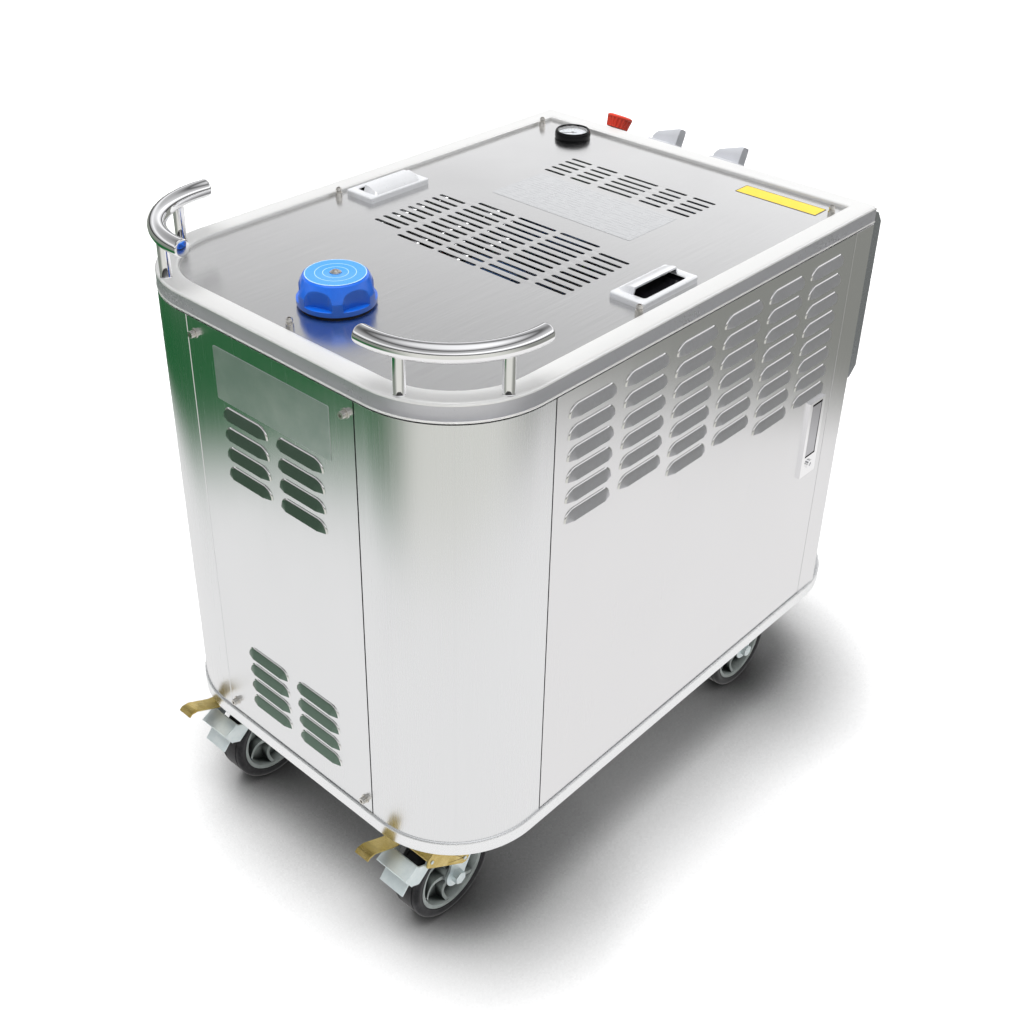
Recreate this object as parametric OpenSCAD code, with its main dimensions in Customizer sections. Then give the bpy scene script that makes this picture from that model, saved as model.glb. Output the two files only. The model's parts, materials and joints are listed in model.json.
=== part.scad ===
// Commercial steam cleaner on four casters.
// Frame: millimetres, +Z up, +X right, +Y towards the control end.
// The origin is on the floor under the middle of the base tray.

/* [Body] */
// Width of the casing
body_w = 670; // [640:1:700]
// Length of the casing, service end to control end
body_l = 926; // [910:1:960]
// Height from the base tray to the top of the rim
body_h = 726; // [710:1:760]
// Radius of the two rounded front corners
corner_r = 152; // [146:1:158]
// Thickness of the panel sheet
sheet_t = 2; // [1.5:0.1:2]
// Gap between neighbouring panels
joint_gap = 1.5; // [1.4:0.1:2]

/* [Base] */
// Length of the base tray
base_l = 1066; // [1060:1:1100]
// Height of the base tray's edge
base_h = 24; // [22:1:28]
// Distance that the base tray stands proud of the casing
lip_proud = 3; // [3:0.5:6]

/* [Top] */
// Height of the rim around the top
rim_h = 28; // [28:1:32]
// Width of the rim's flat band
rim_w = 32; // [32:1:34]
// Depth of the top cover below the rim
cover_drop = 6; // [5:0.5:7]

/* [Vents] */
// Width of a vent slot in the top cover
slot_w = 6; // [4:0.5:8]
// Distance between rows of vent slots
slot_pitch = 17.2; // [16:0.1:18]
// Length of a pressed louvre
louvre_l = 92; // [86:1:96]
// Height of a pressed louvre
louvre_h = 17; // [15:1:19]
// Distance that a louvre stands out of its panel
louvre_out = 6; // [4:0.5:7]
// Distance between rows of louvres
louvre_pitch = 31.6; // [31:0.1:32.5]

/* [Rails] */
// Radius of the corner rail's tube
rail_r = 12.7; // [10:0.1:13]
// Radius of the corner rail's posts
rail_post_r = 8; // [6:0.5:9]
// Height of the corner rail above the rim
rail_h = 60; // [50:1:70]

/* [Water cap] */
// Radius of the water cap
cap_r = 53.5; // [50:0.5:56]
// Height of the water cap
cap_h = 40; // [36:1:44]

/* [Console] */
// Distance that the control console stands out of the casing
console_out = 92; // [88:1:96]
// Width of the control console
console_w = 612; // [600:1:620]
// Slope of the console's top face, in degrees
console_tilt = 25; // [22:1:28]
// Diameter of a selector knob's flange
knob_d = 65; // [60:1:68]

/* [Casters] */
// Radius of a caster wheel
wheel_r = 80; // [76:1:80]
// Width of a caster wheel
wheel_w = 50; // [46:1:50]
// Height of a caster up to the base tray
caster_h = 204; // [204:1:208]
// Distance from the swivel axis to the wheel axle
trail = 40; // [36:1:42]

/* [Hidden] */
$fn = 64;
big = 2000;

// Running clearance of a shaft in its bore
run_gap = 0.05;

// Levels
base_z = caster_h;
seam_z = base_z + base_h;
top_z = seam_z + body_h;
panel_lo = seam_z + joint_gap;
panel_hi = top_z - rim_h - joint_gap;
cover_z = top_z - cover_drop;

// Faces of the casing
side_x = body_w / 2;
front_y = lip_proud - base_l / 2;
rear_y = front_y + body_l;

// Panel joints
front_half = 165;
side_joint_y = front_y + 175;
post_joint_y = front_y + body_l - 45;
door_y0 = side_joint_y + joint_gap / 2;
door_y1 = post_joint_y - joint_gap / 2;
pan_depth = 18;

// Hinge and latch of the right door
hinge_x = side_x - 9;
hinge_y = door_y0 + 15;
pin_r = 4;
latch_y = front_y + 833;
latch_z = top_z - 374;
latch_h = 143;
latch_w = 46;

// Rim section
rim_t = 2;
rim_lip = 10;
ledge_w = 12;
post_s = 20;
bar_z = top_z - 27;
handle_x = side_x - 73;
bar_h = 25;

// Controls on the sloped console face
slope_z = top_z - 3;
slope_mid = 44;
estop_x = -206;
knob_xs = [-97, 33];
estop_r = 23;
stem_r = 11;

// Water cap and gauge
cap_x = -12;
cap_y = front_y + 133;
neck_r = 38;
seal_h = 3;
gauge_x = -215;
gauge_y = front_y + 856;
gauge_r = 31;
gauge_h = 14;

// Boiler, burner, pump and tanks
boiler_y = front_y + 432;
boiler_r = 165;
flue_y = front_y + 737;
flue_r = 40;
burner_z = 832;
drum_r = 78;
fan_r = 62;
shaft_r = 6;
pump_y = front_y + 140;
pump_z = 320;
fuel_cap_pos = [250, front_y + 690, 498];

// Casters
front_caster = [212, front_y + 134];
rear_caster = [235, front_y + 880];
fork_gap = wheel_w / 2 + 2;
fork_t = 4;
axle_r = 6;
hub_r = wheel_r - 15;
race_z = caster_h - 16;

// Lock lever and release pedal of a front caster, measured from the swivel axis and the floor
arm_x = fork_gap + fork_t + 1;
lever_pivot = [-25, 108];
pedal_pivot = [-94, 155];
lever_pin_r = 3;

// ---------- shared shapes ----------

// Outline of the casing: two rounded front corners, two square rear corners
module casing_plan(inset = 0) {
    r = corner_r - inset;
    for (s = [-1, 1])
        translate([s * (side_x - corner_r), front_y + corner_r]) circle(r, $fn = 128);
    translate([-side_x + inset, front_y + corner_r])
        square([body_w - 2 * inset, body_l - corner_r - inset]);
    translate([-side_x + corner_r, front_y + inset])
        square([body_w - 2 * corner_r, corner_r]);
}

// Outline of the base tray: four rounded corners
module base_plan(inset = 0) {
    r = corner_r + lip_proud;
    w = body_w + 2 * lip_proud;
    for (sx = [-1, 1], sy = [-1, 1])
        translate([sx * (w / 2 - r), sy * (base_l / 2 - r)]) circle(r - inset, $fn = 128);
    square([w - 2 * inset, base_l - 2 * r], center = true);
    square([w - 2 * r, base_l - 2 * inset], center = true);
}

// Box given by its low and high corners
module box(lo, hi) {
    translate(lo) cube(hi - lo);
}

// Cylinder along X from x0 to x1
module rod_x(x0, x1, r, facets = 64) {
    translate([x0, 0, 0]) rotate([0, 90, 0]) cylinder(r = r, h = x1 - x0, $fn = facets);
}

// Both sides of the machine
module both_sides() {
    children();
    mirror([1, 0, 0]) children();
}

// Slot with round ends, lying along X
module slot_2d(l, w) {
    square([l - w, w], center = true);
    for (s = [-1, 1]) translate([s * (l - w) / 2, 0]) circle(w / 2, $fn = 24);
}

// Pressed louvre hood, mouth downwards at z = 0, standing out towards -Y
module louvre_hood() {
    t = 1.5;
    translate([-louvre_l / 2, 0, 0]) rotate([90, 0, 90]) linear_extrude(louvre_l)
        polygon([[0, louvre_h], [-louvre_out, 0], [t - louvre_out, 0], [0, louvre_h - 3 * t]]);
    for (s = [-1, 1])
        translate([s * (louvre_l - t) / 2 - t / 2, 0, 0]) rotate([90, 0, 90]) linear_extrude(t)
            polygon([[0, louvre_h], [-louvre_out, 0], [0, 0]]);
}

// Opening behind a louvre hood
module louvre_slot() {
    translate([-louvre_l / 2 + 2, -1, 1]) cube([louvre_l - 4, sheet_t + 2, louvre_h - 6]);
}

// Centres of the louvre mouths on the front panel, as [x, z]
function front_louvres() = [
    for (x = [-1, 1] * 55.7, i = [0:3], z = [top_z - 160 - i * louvre_pitch,
        top_z - 674 + i * louvre_pitch]) [x, z]
];

// Centres of the louvre mouths on a side, as [y, z]: the columns step down to the rear
function side_louvres() = [
    for (c = [0:5], i = [0:5 + floor(c / 2)])
        [front_y + 246 + c * 111.4, top_z - 68 - i * louvre_pitch]
];

// Puts a louvre shape on the right side, facing +X
module on_right_side(p) {
    translate([side_x, p[0], p[1]]) rotate([0, 0, 90]) children();
}

// Flat pan of a side: skin with folded edges and louvres
module side_pan() {
    difference() {
        box([side_x - pan_depth, door_y0, panel_lo], [side_x, door_y1, panel_hi]);
        box([side_x - pan_depth - 1, door_y0 + sheet_t, panel_lo + sheet_t],
            [side_x - sheet_t, door_y1 - sheet_t, panel_hi - sheet_t]);
        for (p = side_louvres()) on_right_side(p) louvre_slot();
    }
    for (p = side_louvres()) on_right_side(p) louvre_hood();
}

// Frame on the console's sloped face: s runs down the slope, +Z is its normal
module on_slope(x, s) {
    translate([x, rear_y + 0.5 + s * cos(console_tilt), slope_z - s * sin(console_tilt)])
        rotate([-console_tilt, 0, 0]) children();
}

// Hexagon socket cap screw on a washer, head along +Z
module cap_screw(r = 5, h = 7) {
    difference() {
        union() {
            cylinder(r = 1.4 * r, h = 1.2);
            cylinder(r = r, h = h + 1.2);
        }
        translate([0, 0, h - 2.3]) cylinder(r = 0.55 * r, h = 4, $fn = 6);
    }
}

// Tall stud of the top cover: a round nut below a domed head with a hexagon socket
module cover_stud() {
    difference() {
        union() {
            cylinder(r = 5.4, h = 6.5);
            cylinder(r = 3.6, h = 9);
            translate([0, 0, 10.5]) sphere(r = 4.6);
        }
        translate([0, 0, 11.5]) cylinder(r = 2.4, h = 5, $fn = 6);
    }
}

// ---------- base and frame ----------

module base_tray() color([0.86, 0.87, 0.88]) {
    plate_t = 3;
    translate([0, 0, base_z]) difference() {
        linear_extrude(base_h) base_plan();
        translate([0, 0, -1]) linear_extrude(base_h - plate_t + 1) base_plan(3);
    }
    for (y = [front_caster[1], rear_caster[1]], s = [-38, 38])
        box([-300, y + s - 14, base_z], [300, y + s + 14, seam_z - plate_t]);
}

module frame_posts() color([0.62, 0.64, 0.66]) {
    y_front = front_y + 12;
    x_side = side_x - sheet_t - 2 - post_s;
    y_side = side_joint_y - 27;
    y_rear = rear_y - 4 - post_s;
    bar_top = bar_z + bar_h;
    brace_h = 16;
    both_sides() {
        box([144, y_front, seam_z], [162, y_front + 16, bar_top]);
        box([x_side, y_side, seam_z], [x_side + post_s, y_side + post_s, bar_top]);
        box([x_side, y_rear, seam_z], [x_side + post_s, y_rear + post_s, bar_top]);
        box([x_side, y_side, bar_z], [x_side + post_s, y_rear + post_s, bar_top]);
        translate([153, y_front + 8, bar_z]) rotate([0, 0, 41]) translate([0, -6, 0])
            cube([213, 12, brace_h]);
        box([226, front_y + 216, seam_z], [242, front_y + 232, seam_z + 196]);
    }
    box([-162, y_front, bar_z], [162, y_front + 16, bar_top]);
    box([-x_side, y_rear, bar_z], [x_side, y_rear + post_s, bar_top]);
    box([-242, y_front + 5, seam_z + 196], [242, front_y + 240, seam_z + 202]);
}

// ---------- casing panels ----------

// Rounded front corner with a folded edge at the front joint
module corner_panel() {
    cx = side_x - corner_r;
    cy = front_y + corner_r;
    x0 = front_half + joint_gap / 2;
    translate([0, 0, seam_z]) linear_extrude(panel_hi - seam_z) {
        intersection() {
            translate([cx, cy]) difference() {
                circle(corner_r, $fn = 128);
                circle(corner_r - sheet_t, $fn = 128);
            }
            translate([cx, cy - corner_r]) square(corner_r);
        }
        translate([x0, front_y]) square([cx - x0 + 0.01, sheet_t]);
        translate([x0, front_y]) square([sheet_t, 12]);
        translate([side_x - sheet_t, cy - 0.01])
            square([sheet_t, side_joint_y - joint_gap / 2 - cy + 0.01]);
    }
}

module corner_panels() color([0.80, 0.81, 0.82]) both_sides() corner_panel();

module front_panel() color([0.78, 0.80, 0.80]) {
    x1 = front_half - joint_gap / 2;
    difference() {
        box([-x1, front_y, panel_lo], [x1, front_y + 12, panel_hi]);
        box([sheet_t - x1, front_y + sheet_t, panel_lo - 1], [x1 - sheet_t, front_y + 13, big]);
        for (p = front_louvres()) translate([p[0], front_y, p[1]]) louvre_slot();
    }
    for (p = front_louvres()) translate([p[0], front_y, p[1]]) louvre_hood();
}

module left_panel() color([0.78, 0.80, 0.80]) mirror([1, 0, 0]) side_pan();

// Square rear corner: a strip on the side, a strip on the back and a folded edge
module rear_corner() {
    x_in = console_w / 2;
    y0 = post_joint_y + joint_gap / 2;
    translate([0, 0, seam_z]) linear_extrude(panel_hi - seam_z) {
        translate([side_x - sheet_t, y0]) square([sheet_t, rear_y - y0]);
        translate([x_in, rear_y - sheet_t]) square([side_x - x_in, sheet_t]);
        translate([side_x - 16, y0]) square([16, sheet_t]);
    }
}

module rear_corners() color([0.80, 0.81, 0.82]) both_sides() rear_corner();

// Places of the fittings on the rear panel, as [x, height, radius of the hole]
OUTLETS = [[-205, 470, 17], [-105, 470, 17], [110, 440, 15], [205, 330, 15]];

module rear_panel() color([0.76, 0.78, 0.79]) difference() {
    x1 = console_w / 2 - joint_gap;
    box([-x1, rear_y - sheet_t, panel_lo], [x1, rear_y, panel_hi]);
    for (p = OUTLETS)
        translate([p[0], rear_y - 5, p[1]]) rotate([-90, 0, 0]) cylinder(r = p[2] + 0.5, h = 10);
    for (x = [-200:50:200], z = [0:4]) if (abs(x) > 1)
        box([x - 17, rear_y - 5, 262 + z * 11], [x + 17, rear_y + 1, 266 + z * 11]);
}

// ---------- right door, hinge and latch ----------

module right_door() color([0.82, 0.83, 0.84]) difference() {
    side_pan();
    translate([hinge_x, hinge_y, 0]) {
        translate([0, 0, panel_hi - 6]) cylinder(r = pin_r + run_gap, h = 12);
        translate([0, 0, panel_lo - 6]) cylinder(r = pin_r + run_gap, h = 12);
    }
    box([side_x - 10, latch_y - latch_w / 2 + 3, latch_z - latch_h / 2 + 3],
        [side_x + 10, latch_y + latch_w / 2 - 3, latch_z + latch_h / 2 - 3]);
}

module hinge_pins() color([0.70, 0.71, 0.73]) translate([hinge_x, hinge_y, 0]) {
    translate([0, 0, seam_z]) cylinder(r = pin_r, h = 12);
    translate([0, 0, bar_z - 12]) cylinder(r = pin_r, h = 12);
}

lever_top = latch_z + latch_h / 2 - 12;
lever_h = 92;
lever_x = side_x - 1;
button_z = latch_z - latch_h / 2 + 21;

module latch_case() color([0.88, 0.88, 0.90]) difference() {
    union() {
        box([side_x, latch_y - latch_w / 2, latch_z - latch_h / 2],
            [side_x + 5, latch_y + latch_w / 2, latch_z + latch_h / 2]);
        box([side_x - 16, latch_y - latch_w / 2 + 3.2, latch_z - latch_h / 2 + 3.2],
            [side_x + 1, latch_y + latch_w / 2 - 3.2, latch_z + latch_h / 2 - 3.2]);
    }
    box([side_x - 10, latch_y - 15, lever_top - lever_h - 2],
        [side_x + 6, latch_y + 15, lever_top + 8]);
    translate([lever_x, latch_y - 18, lever_top]) rotate([-90, 0, 0])
        cylinder(r = 3 + run_gap, h = 36);
    translate([side_x - 8, latch_y, button_z]) rotate([0, 90, 0])
        cylinder(r = 8 + run_gap, h = 20);
    box([side_x - 17, latch_y - 30, latch_z - 9 - run_gap],
        [side_x - 12 + run_gap, latch_y + 30, latch_z + 9 + run_gap]);
}

module latch_lever() color([0.90, 0.90, 0.92]) {
    translate([lever_x, latch_y - 17.5, lever_top]) rotate([-90, 0, 0])
        cylinder(r = 3, h = 35);
    difference() {
        box([side_x - 5, latch_y - 14, lever_top - lever_h], [side_x + 4, latch_y + 14, lever_top + 3]);
        box([side_x - 6, latch_y - 11, lever_top - lever_h + 3],
            [side_x + 1, latch_y + 11, lever_top - 6]);
    }
}

module latch_button() color([0.85, 0.86, 0.88]) translate([side_x - 3, latch_y, button_z])
    rotate([0, 90, 0]) difference() {
        cylinder(r = 8, h = 11);
        translate([0, 0, 9]) cylinder(r = 3.5, h = 3);
    }

// Sliding bolt behind the latch case, its nose flush with the door's rear edge
module latch_bolt() color([0.65, 0.66, 0.68])
    box([side_x - 16, latch_y - 8, latch_z - 9], [side_x - 12, door_y1 - sheet_t - 0.5, latch_z + 9]);

// ---------- rim, top cover and what stands on it ----------

module top_rim() color([0.84, 0.85, 0.86]) difference() {
    union() {
        translate([0, 0, top_z - rim_h]) linear_extrude(rim_h) casing_plan();
        box([-side_x, rear_y - 12, top_z - 1.8], [side_x, rear_y + 7, top_z]);
    }
    translate([0, 0, top_z - rim_h - 1]) linear_extrude(rim_h - rim_lip - rim_t + 1)
        casing_plan(rim_t);
    translate([0, 0, top_z - rim_lip - rim_t - 1]) linear_extrude(rim_lip + 1) difference() {
        casing_plan(rim_t);
        casing_plan(rim_w - rim_t);
    }
    translate([0, 0, top_z - rim_h - 1]) linear_extrude(rim_h + 2) casing_plan(rim_w + ledge_w);
    translate([0, 0, cover_z - rim_t]) linear_extrude(rim_h) casing_plan(rim_w);
    translate([0, 0, top_z - rim_h - 1]) linear_extrude(cover_z - 2 * rim_t - top_z + rim_h + 1)
        casing_plan(rim_w - rim_t);
}

// Centre lines of the vent slots, as [x, y, length]
function long_group() = [
    for (c = [-2:2], i = [-5:5]) if (abs(c) < 2 || abs(i) < 5)
        [c * 80.1 + sign(c) * 3 * (2 - abs(c)), front_y + 432 + i * slot_pitch,
            abs(c) == 2 ? 54 : 74]
];
function short_group() = [
    for (c = [-2:2], i = [-2:2])
        [c * 54 + sign(c) * 16, front_y + 737.5 + i * slot_pitch, c == 0 ? 68 : 42]
];

module top_cover() color([0.74, 0.75, 0.76]) difference() {
    translate([0, 0, cover_z - rim_t]) linear_extrude(rim_t) difference() {
        casing_plan(rim_w + 0.8);
        for (s = concat(long_group(), short_group()))
            translate([s[0], s[1]]) slot_2d(s[2], slot_w);
        translate([cap_x, cap_y]) circle(neck_r + 3);
        translate([gauge_x, gauge_y]) circle(8);
        both_sides() translate([handle_x, front_y + 460]) square([40, 92], center = true);
    }
}

screw_x = side_x - 41;
SCREW_TOP = [[0, 43], [-screw_x, 385], [screw_x, 385], [-screw_x, 866], [screw_x, 866]];

module cap_screws() color([0.80, 0.80, 0.81]) {
    for (p = SCREW_TOP) translate([p[0], front_y + p[1], cover_z]) cover_stud();
    for (x = [-150, 150], z = [top_z - 52, top_z - 706])
        translate([x, front_y, z]) rotate([90, 0, 0]) cap_screw();
    for (y = [door_y0 + 14, door_y1 - 14], z = [top_z - 52, top_z - 706])
        translate([-side_x, y, z]) rotate([0, -90, 0]) cap_screw();
    for (x = [-285, 285], z = [panel_lo + 20, top_z - 372])
        translate([x, rear_y, z]) rotate([-90, 0, 0]) cap_screw();
}

// Cup handle: a flat plate with a curved hood over a finger pocket that opens towards +X
module cup_handle() {
    plate = [58, 125, 9];
    pocket = [42, 96];
    hood_r = 36;
    hood_x = 0;
    difference() {
        union() {
            translate([-plate[0] / 2, -plate[1] / 2, 0]) cube(plate);
            intersection() {
                translate([hood_x, pocket[1] / 2 + 4, 19 - hood_r]) rotate([90, 0, 0])
                    cylinder(r = hood_r, h = pocket[1] + 8, $fn = 96);
                box([-26, -60, 4], [hood_x, 60, 30]);
            }
        }
        box([-23, -pocket[1] / 2, 2], [pocket[0] - 23, pocket[1] / 2, plate[2]]);
        intersection() {
            translate([hood_x, pocket[1] / 2, 19 - hood_r]) rotate([90, 0, 0])
                cylinder(r = hood_r - 3, h = pocket[1], $fn = 96);
            box([-24, -60, 2], [hood_x + 1, 60, 30]);
        }
    }
}

module cup_handles() color([0.84, 0.85, 0.87]) both_sides()
    translate([handle_x, front_y + 460, cover_z]) cup_handle();

// Corner rail: a tube arc over the rounded corner, on two posts
module corner_rail() {
    r = corner_r - 10;
    half_sweep = 50;
    translate([side_x - corner_r, front_y + corner_r, top_z]) {
        translate([0, 0, rail_h]) rotate([0, 0, -45 - half_sweep])
            rotate_extrude(angle = 2 * half_sweep, $fn = 128) translate([r, 0]) circle(rail_r);
        for (a = [-26.5, 26.5])
            rotate([0, 0, a - 45]) translate([r, 0, 0]) cylinder(r = rail_post_r, h = rail_h);
    }
}

module corner_rails() color([0.88, 0.89, 0.91]) both_sides() corner_rail();

// Plain plates: one on the front panel, two on the top cover
module label_plates() color([0.90, 0.88, 0.70]) {
    box([-111, front_y - 0.8, top_z - 135], [119, front_y, top_z - 55]);
    box([-137, front_y + 566, cover_z], [137, front_y + 684, cover_z + 0.4]);
    box([133, front_y + 843, cover_z], [280, front_y + 877, cover_z + 0.4]);
}

// ---------- water tank and cap ----------

module water_tank() color([0.90, 0.92, 0.93]) {
    z0 = seam_z + 202;
    difference() {
        union() {
            box([-235, front_y + 45, z0], [235, front_y + 238, z0 + 440]);
            translate([cap_x, cap_y, z0 + 439]) cylinder(r = neck_r, h = cover_z + 27 - z0 - 439);
        }
        box([-231, front_y + 49, z0 + 4], [231, front_y + 234, z0 + 436]);
        translate([cap_x, cap_y, z0 + 430]) cylinder(r = neck_r - 5, h = big);
    }
}

module cap_seal() color([0.12, 0.12, 0.13]) translate([cap_x, cap_y, cover_z]) difference() {
    cylinder(r = cap_r - 4, h = seal_h);
    translate([0, 0, -1]) cylinder(r = neck_r + 4, h = seal_h + 2);
}

module water_cap() color([0.02, 0.33, 0.82]) translate([cap_x, cap_y, cover_z + seal_h])
    difference() {
        union() {
            cylinder(r = cap_r, h = cap_h - 11);
            translate([0, 0, cap_h - 11]) cylinder(r1 = cap_r, r2 = cap_r - 11, h = 11);
        }
        translate([0, 0, -1]) cylinder(r = neck_r + 3, h = cap_h - 8);
        for (a = [-10:60:290]) rotate([0, 0, a]) translate([cap_r + 13, 0, cap_h - 19])
            sphere(r = 20);
    }

module cap_disc() color([0.35, 0.68, 0.93]) translate([cap_x, cap_y, cover_z + seal_h + cap_h]) {
    cylinder(r = cap_r - 12.5, h = 0.8);
    cylinder(r = 7, h = 1.6);
    intersection() {
        translate([0, 0, -0.5]) sphere(r = 5.5);
        cylinder(r = 6, h = 6);
    }
}

// ---------- pressure gauge ----------

module gauge_case() color([0.05, 0.05, 0.06]) translate([gauge_x, gauge_y, cover_z]) {
    difference() {
        cylinder(r = gauge_r, h = gauge_h);
        translate([0, 0, 4]) cylinder(r = gauge_r - 3, h = gauge_h);
    }
    translate([0, 0, -40]) cylinder(r = 7, h = 41);
}

module gauge_dial() color([0.95, 0.96, 0.97]) translate([gauge_x, gauge_y, cover_z + 4])
    difference() {
        cylinder(r = gauge_r - 3, h = 2);
        translate([0, 0, -1]) cylinder(r = 1 + run_gap, h = 4);
    }

module gauge_needle() color([0.1, 0.1, 0.1]) translate([gauge_x, gauge_y, cover_z + 4]) {
    translate([0, 0, 0.5]) cylinder(r = 1, h = 2.8);
    translate([0, 0, 2.5]) cylinder(r = 3, h = 1);
    rotate([0, 0, 225]) translate([-7, -0.6, 2.5]) cube([28, 1.2, 0.8]);
}

module gauge_glass() color([0.8, 0.9, 0.95, 0.4]) translate([gauge_x, gauge_y, cover_z + 10.5])
    cylinder(r = gauge_r - 3, h = 2);

// ---------- control console ----------

switch_pos = [150, top_z - 180];
switch_size = [30, 40];

module console_shell() color([0.72, 0.74, 0.76]) {
    t = sheet_t;
    y1 = rear_y + console_out;
    z0 = slope_z - (console_out - 14.5) * tan(console_tilt);
    z2 = top_z - 323;
    x1 = console_w / 2 - 1;
    difference() {
        translate([-x1, 0, 0]) rotate([90, 0, 90]) linear_extrude(2 * x1)
            polygon([[rear_y, slope_z], [rear_y + 0.5, slope_z], [y1 - 14, z0], [y1, z0 - 19], [y1, z2],
                [y1 - 17, z2 - 17], [rear_y, z2 - 17]]);
        translate([t - x1, 0, 0]) rotate([90, 0, 90]) linear_extrude(2 * (x1 - t))
            polygon([[rear_y - 1, slope_z - t - 1], [rear_y + 1, slope_z - t - 1],
                [y1 - 14 - t, z0 - t], [y1 - t, z0 - 19 - t], [y1 - t, z2 + 1], [y1 - 18, z2 - 15],
                [rear_y - 1, z2 - 15]]);
        for (x = knob_xs) on_slope(x, slope_mid) translate([0, 0, -20])
            cylinder(r = shaft_r + run_gap, h = 40);
        on_slope(estop_x, slope_mid) translate([0, 0, -20]) cylinder(r = stem_r + 1, h = 40);
        translate([switch_pos[0], y1, switch_pos[1]])
            cube([switch_size[0] + 1.4, 10, switch_size[1] + 1.4], center = true);
    }
}

module estop_collar() color([0.45, 0.80, 0.76]) on_slope(estop_x, slope_mid) difference() {
    cylinder(r = 20.5, h = 4);
    translate([0, 0, -1]) cylinder(r = stem_r + run_gap, h = 8);
}

module estop_stem() color([0.30, 0.31, 0.33]) on_slope(estop_x, slope_mid) {
    translate([0, 0, -24]) cylinder(r = stem_r, h = 31);
    translate([0, 0, 7]) cylinder(r = 5, h = 14);
}

module estop_head() color([0.90, 0.22, 0.14]) on_slope(estop_x, slope_mid) difference() {
    union() {
        translate([0, 0, 7.1]) cylinder(r1 = estop_r - 3.4, r2 = estop_r, h = 20);
        translate([0, 0, 27.1]) cylinder(r1 = estop_r, r2 = estop_r - 3, h = 3);
        for (a = [0:20:340]) rotate([0, 0, a]) translate([estop_r - 2.9, 0, 11])
            rotate([0, 8, 0]) cylinder(r = 1.6, h = 13, $fn = 16);
    }
    translate([0, 0, 7]) cylinder(r = 5 + run_gap, h = 14.2);
}

// Wedge grip: low and narrow at -X, tall and wide at +X
module wedge_grip() {
    intersection() {
        translate([0, 20, 0]) rotate([90, 0, 0]) linear_extrude(40)
            polygon([[-27, 0], [-25, 12], [-21, 15], [14, 31], [24, 31], [28, 0]]);
        linear_extrude(40) polygon([[-28, -6], [28, -12], [28, 12], [-28, 6]]);
    }
}

module selector_knob(x) {
    on_slope(x, slope_mid) {
        translate([0, 0, 1]) cylinder(r = knob_d / 2, h = 7);
        translate([0, 0, 7.5]) wedge_grip();
        translate([0, 0, -18]) cylinder(r = shaft_r, h = 20);
    }
}

module selector_knob_left() color([0.76, 0.77, 0.80]) selector_knob(knob_xs[0]);
module selector_knob_right() color([0.76, 0.77, 0.80]) selector_knob(knob_xs[1]);

module power_switch() color([0.08, 0.08, 0.09])
    translate([switch_pos[0], rear_y + console_out - 1, switch_pos[1]]) {
        rotate([8, 0, 0]) cube([switch_size[0], 8, switch_size[1] - 1.2], center = true);
        rod_x(-switch_size[0] / 2 - 0.5, switch_size[0] / 2 + 0.5, 2);
    }

// ---------- hose fittings on the rear panel ----------

// Steam outlet: flange, hexagon body and hose nipple
module steam_outlet(r) {
    cylinder(r = r + 6, h = 4);
    translate([0, 0, -30]) cylinder(r = r, h = 32);
    translate([0, 0, 4]) cylinder(r = r + 2, h = 18, $fn = 6);
    translate([0, 0, 22]) cylinder(r = 10, h = 26);
    translate([0, 0, 30]) cylinder(r = 12, h = 4);
}

// Water fitting: flange and hose spigot
module water_fitting(r) {
    cylinder(r = r + 6, h = 4);
    translate([0, 0, -30]) cylinder(r = r, h = 32);
    translate([0, 0, 4]) cylinder(r = r + 1, h = 12, $fn = 6);
    translate([0, 0, 16]) cylinder(r = 9.5, h = 28);
}

module outlet_fittings() color([0.80, 0.66, 0.36]) {
    for (i = [0:3]) translate([OUTLETS[i][0], rear_y, OUTLETS[i][1]]) rotate([-90, 0, 0])
        if (i < 2) steam_outlet(OUTLETS[i][2]);
        else water_fitting(OUTLETS[i][2]);
}

// ---------- boiler and burner ----------

module boiler_shell() color([0.70, 0.71, 0.73]) translate([0, boiler_y, 0]) {
    translate([0, 0, seam_z]) cylinder(r = boiler_r - 20, h = 22);
    difference() {
        translate([0, 0, seam_z + 20]) cylinder(r = boiler_r, h = 492, $fn = 96);
        translate([0, 0, seam_z + 30]) cylinder(r = boiler_r - 6, h = 472, $fn = 96);
    }
    for (z = [340, 640]) translate([0, 0, z]) cylinder(r = boiler_r + 2, h = 14, $fn = 96);
    translate([0, 0, seam_z + 510]) cylinder(r = 58, h = 16);
    difference() {
        union() {
            translate([0, boiler_r - 8, 680]) rotate([-90, 0, 0])
                cylinder(r = flue_r, h = flue_y - boiler_y - boiler_r + 8);
            translate([0, flue_y - boiler_y, 680 - flue_r - 4])
                cylinder(r = flue_r + 3, h = cover_z - 20 - 680 + flue_r + 4);
        }
        translate([0, flue_y - boiler_y, 680]) cylinder(r = flue_r - 2, h = big);
    }
}

// Fan drum on the boiler's neck, and its motor
module burner_housing() color([0.20, 0.32, 0.55]) translate([0, boiler_y, burner_z]) {
    difference() {
        union() {
            rod_x(-45, 45, drum_r, 96);
            translate([0, 0, seam_z + 526 - burner_z]) cylinder(r = 50, h = 40);
        }
        rod_x(-42, 42, drum_r - 4, 96);
        rod_x(40, 50, 40);
        rod_x(-50, 0, shaft_r + run_gap);
    }
    difference() {
        rod_x(-145, -46, 46);
        rod_x(-135, -40, shaft_r + run_gap);
    }
}

// Cage fan with its shaft
module burner_fan() color([0.75, 0.76, 0.78]) translate([0, boiler_y, burner_z]) {
    rod_x(-130, 30, shaft_r);
    rod_x(-30, -27, fan_r);
    difference() {
        rod_x(27, 30, fan_r);
        rod_x(20, 40, fan_r - 14);
    }
    rod_x(-28, 10, 14);
    for (a = [0:20:340]) rotate([a, 0, 0]) translate([-28, -1, fan_r - 12]) cube([56, 2, 11]);
}

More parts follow.
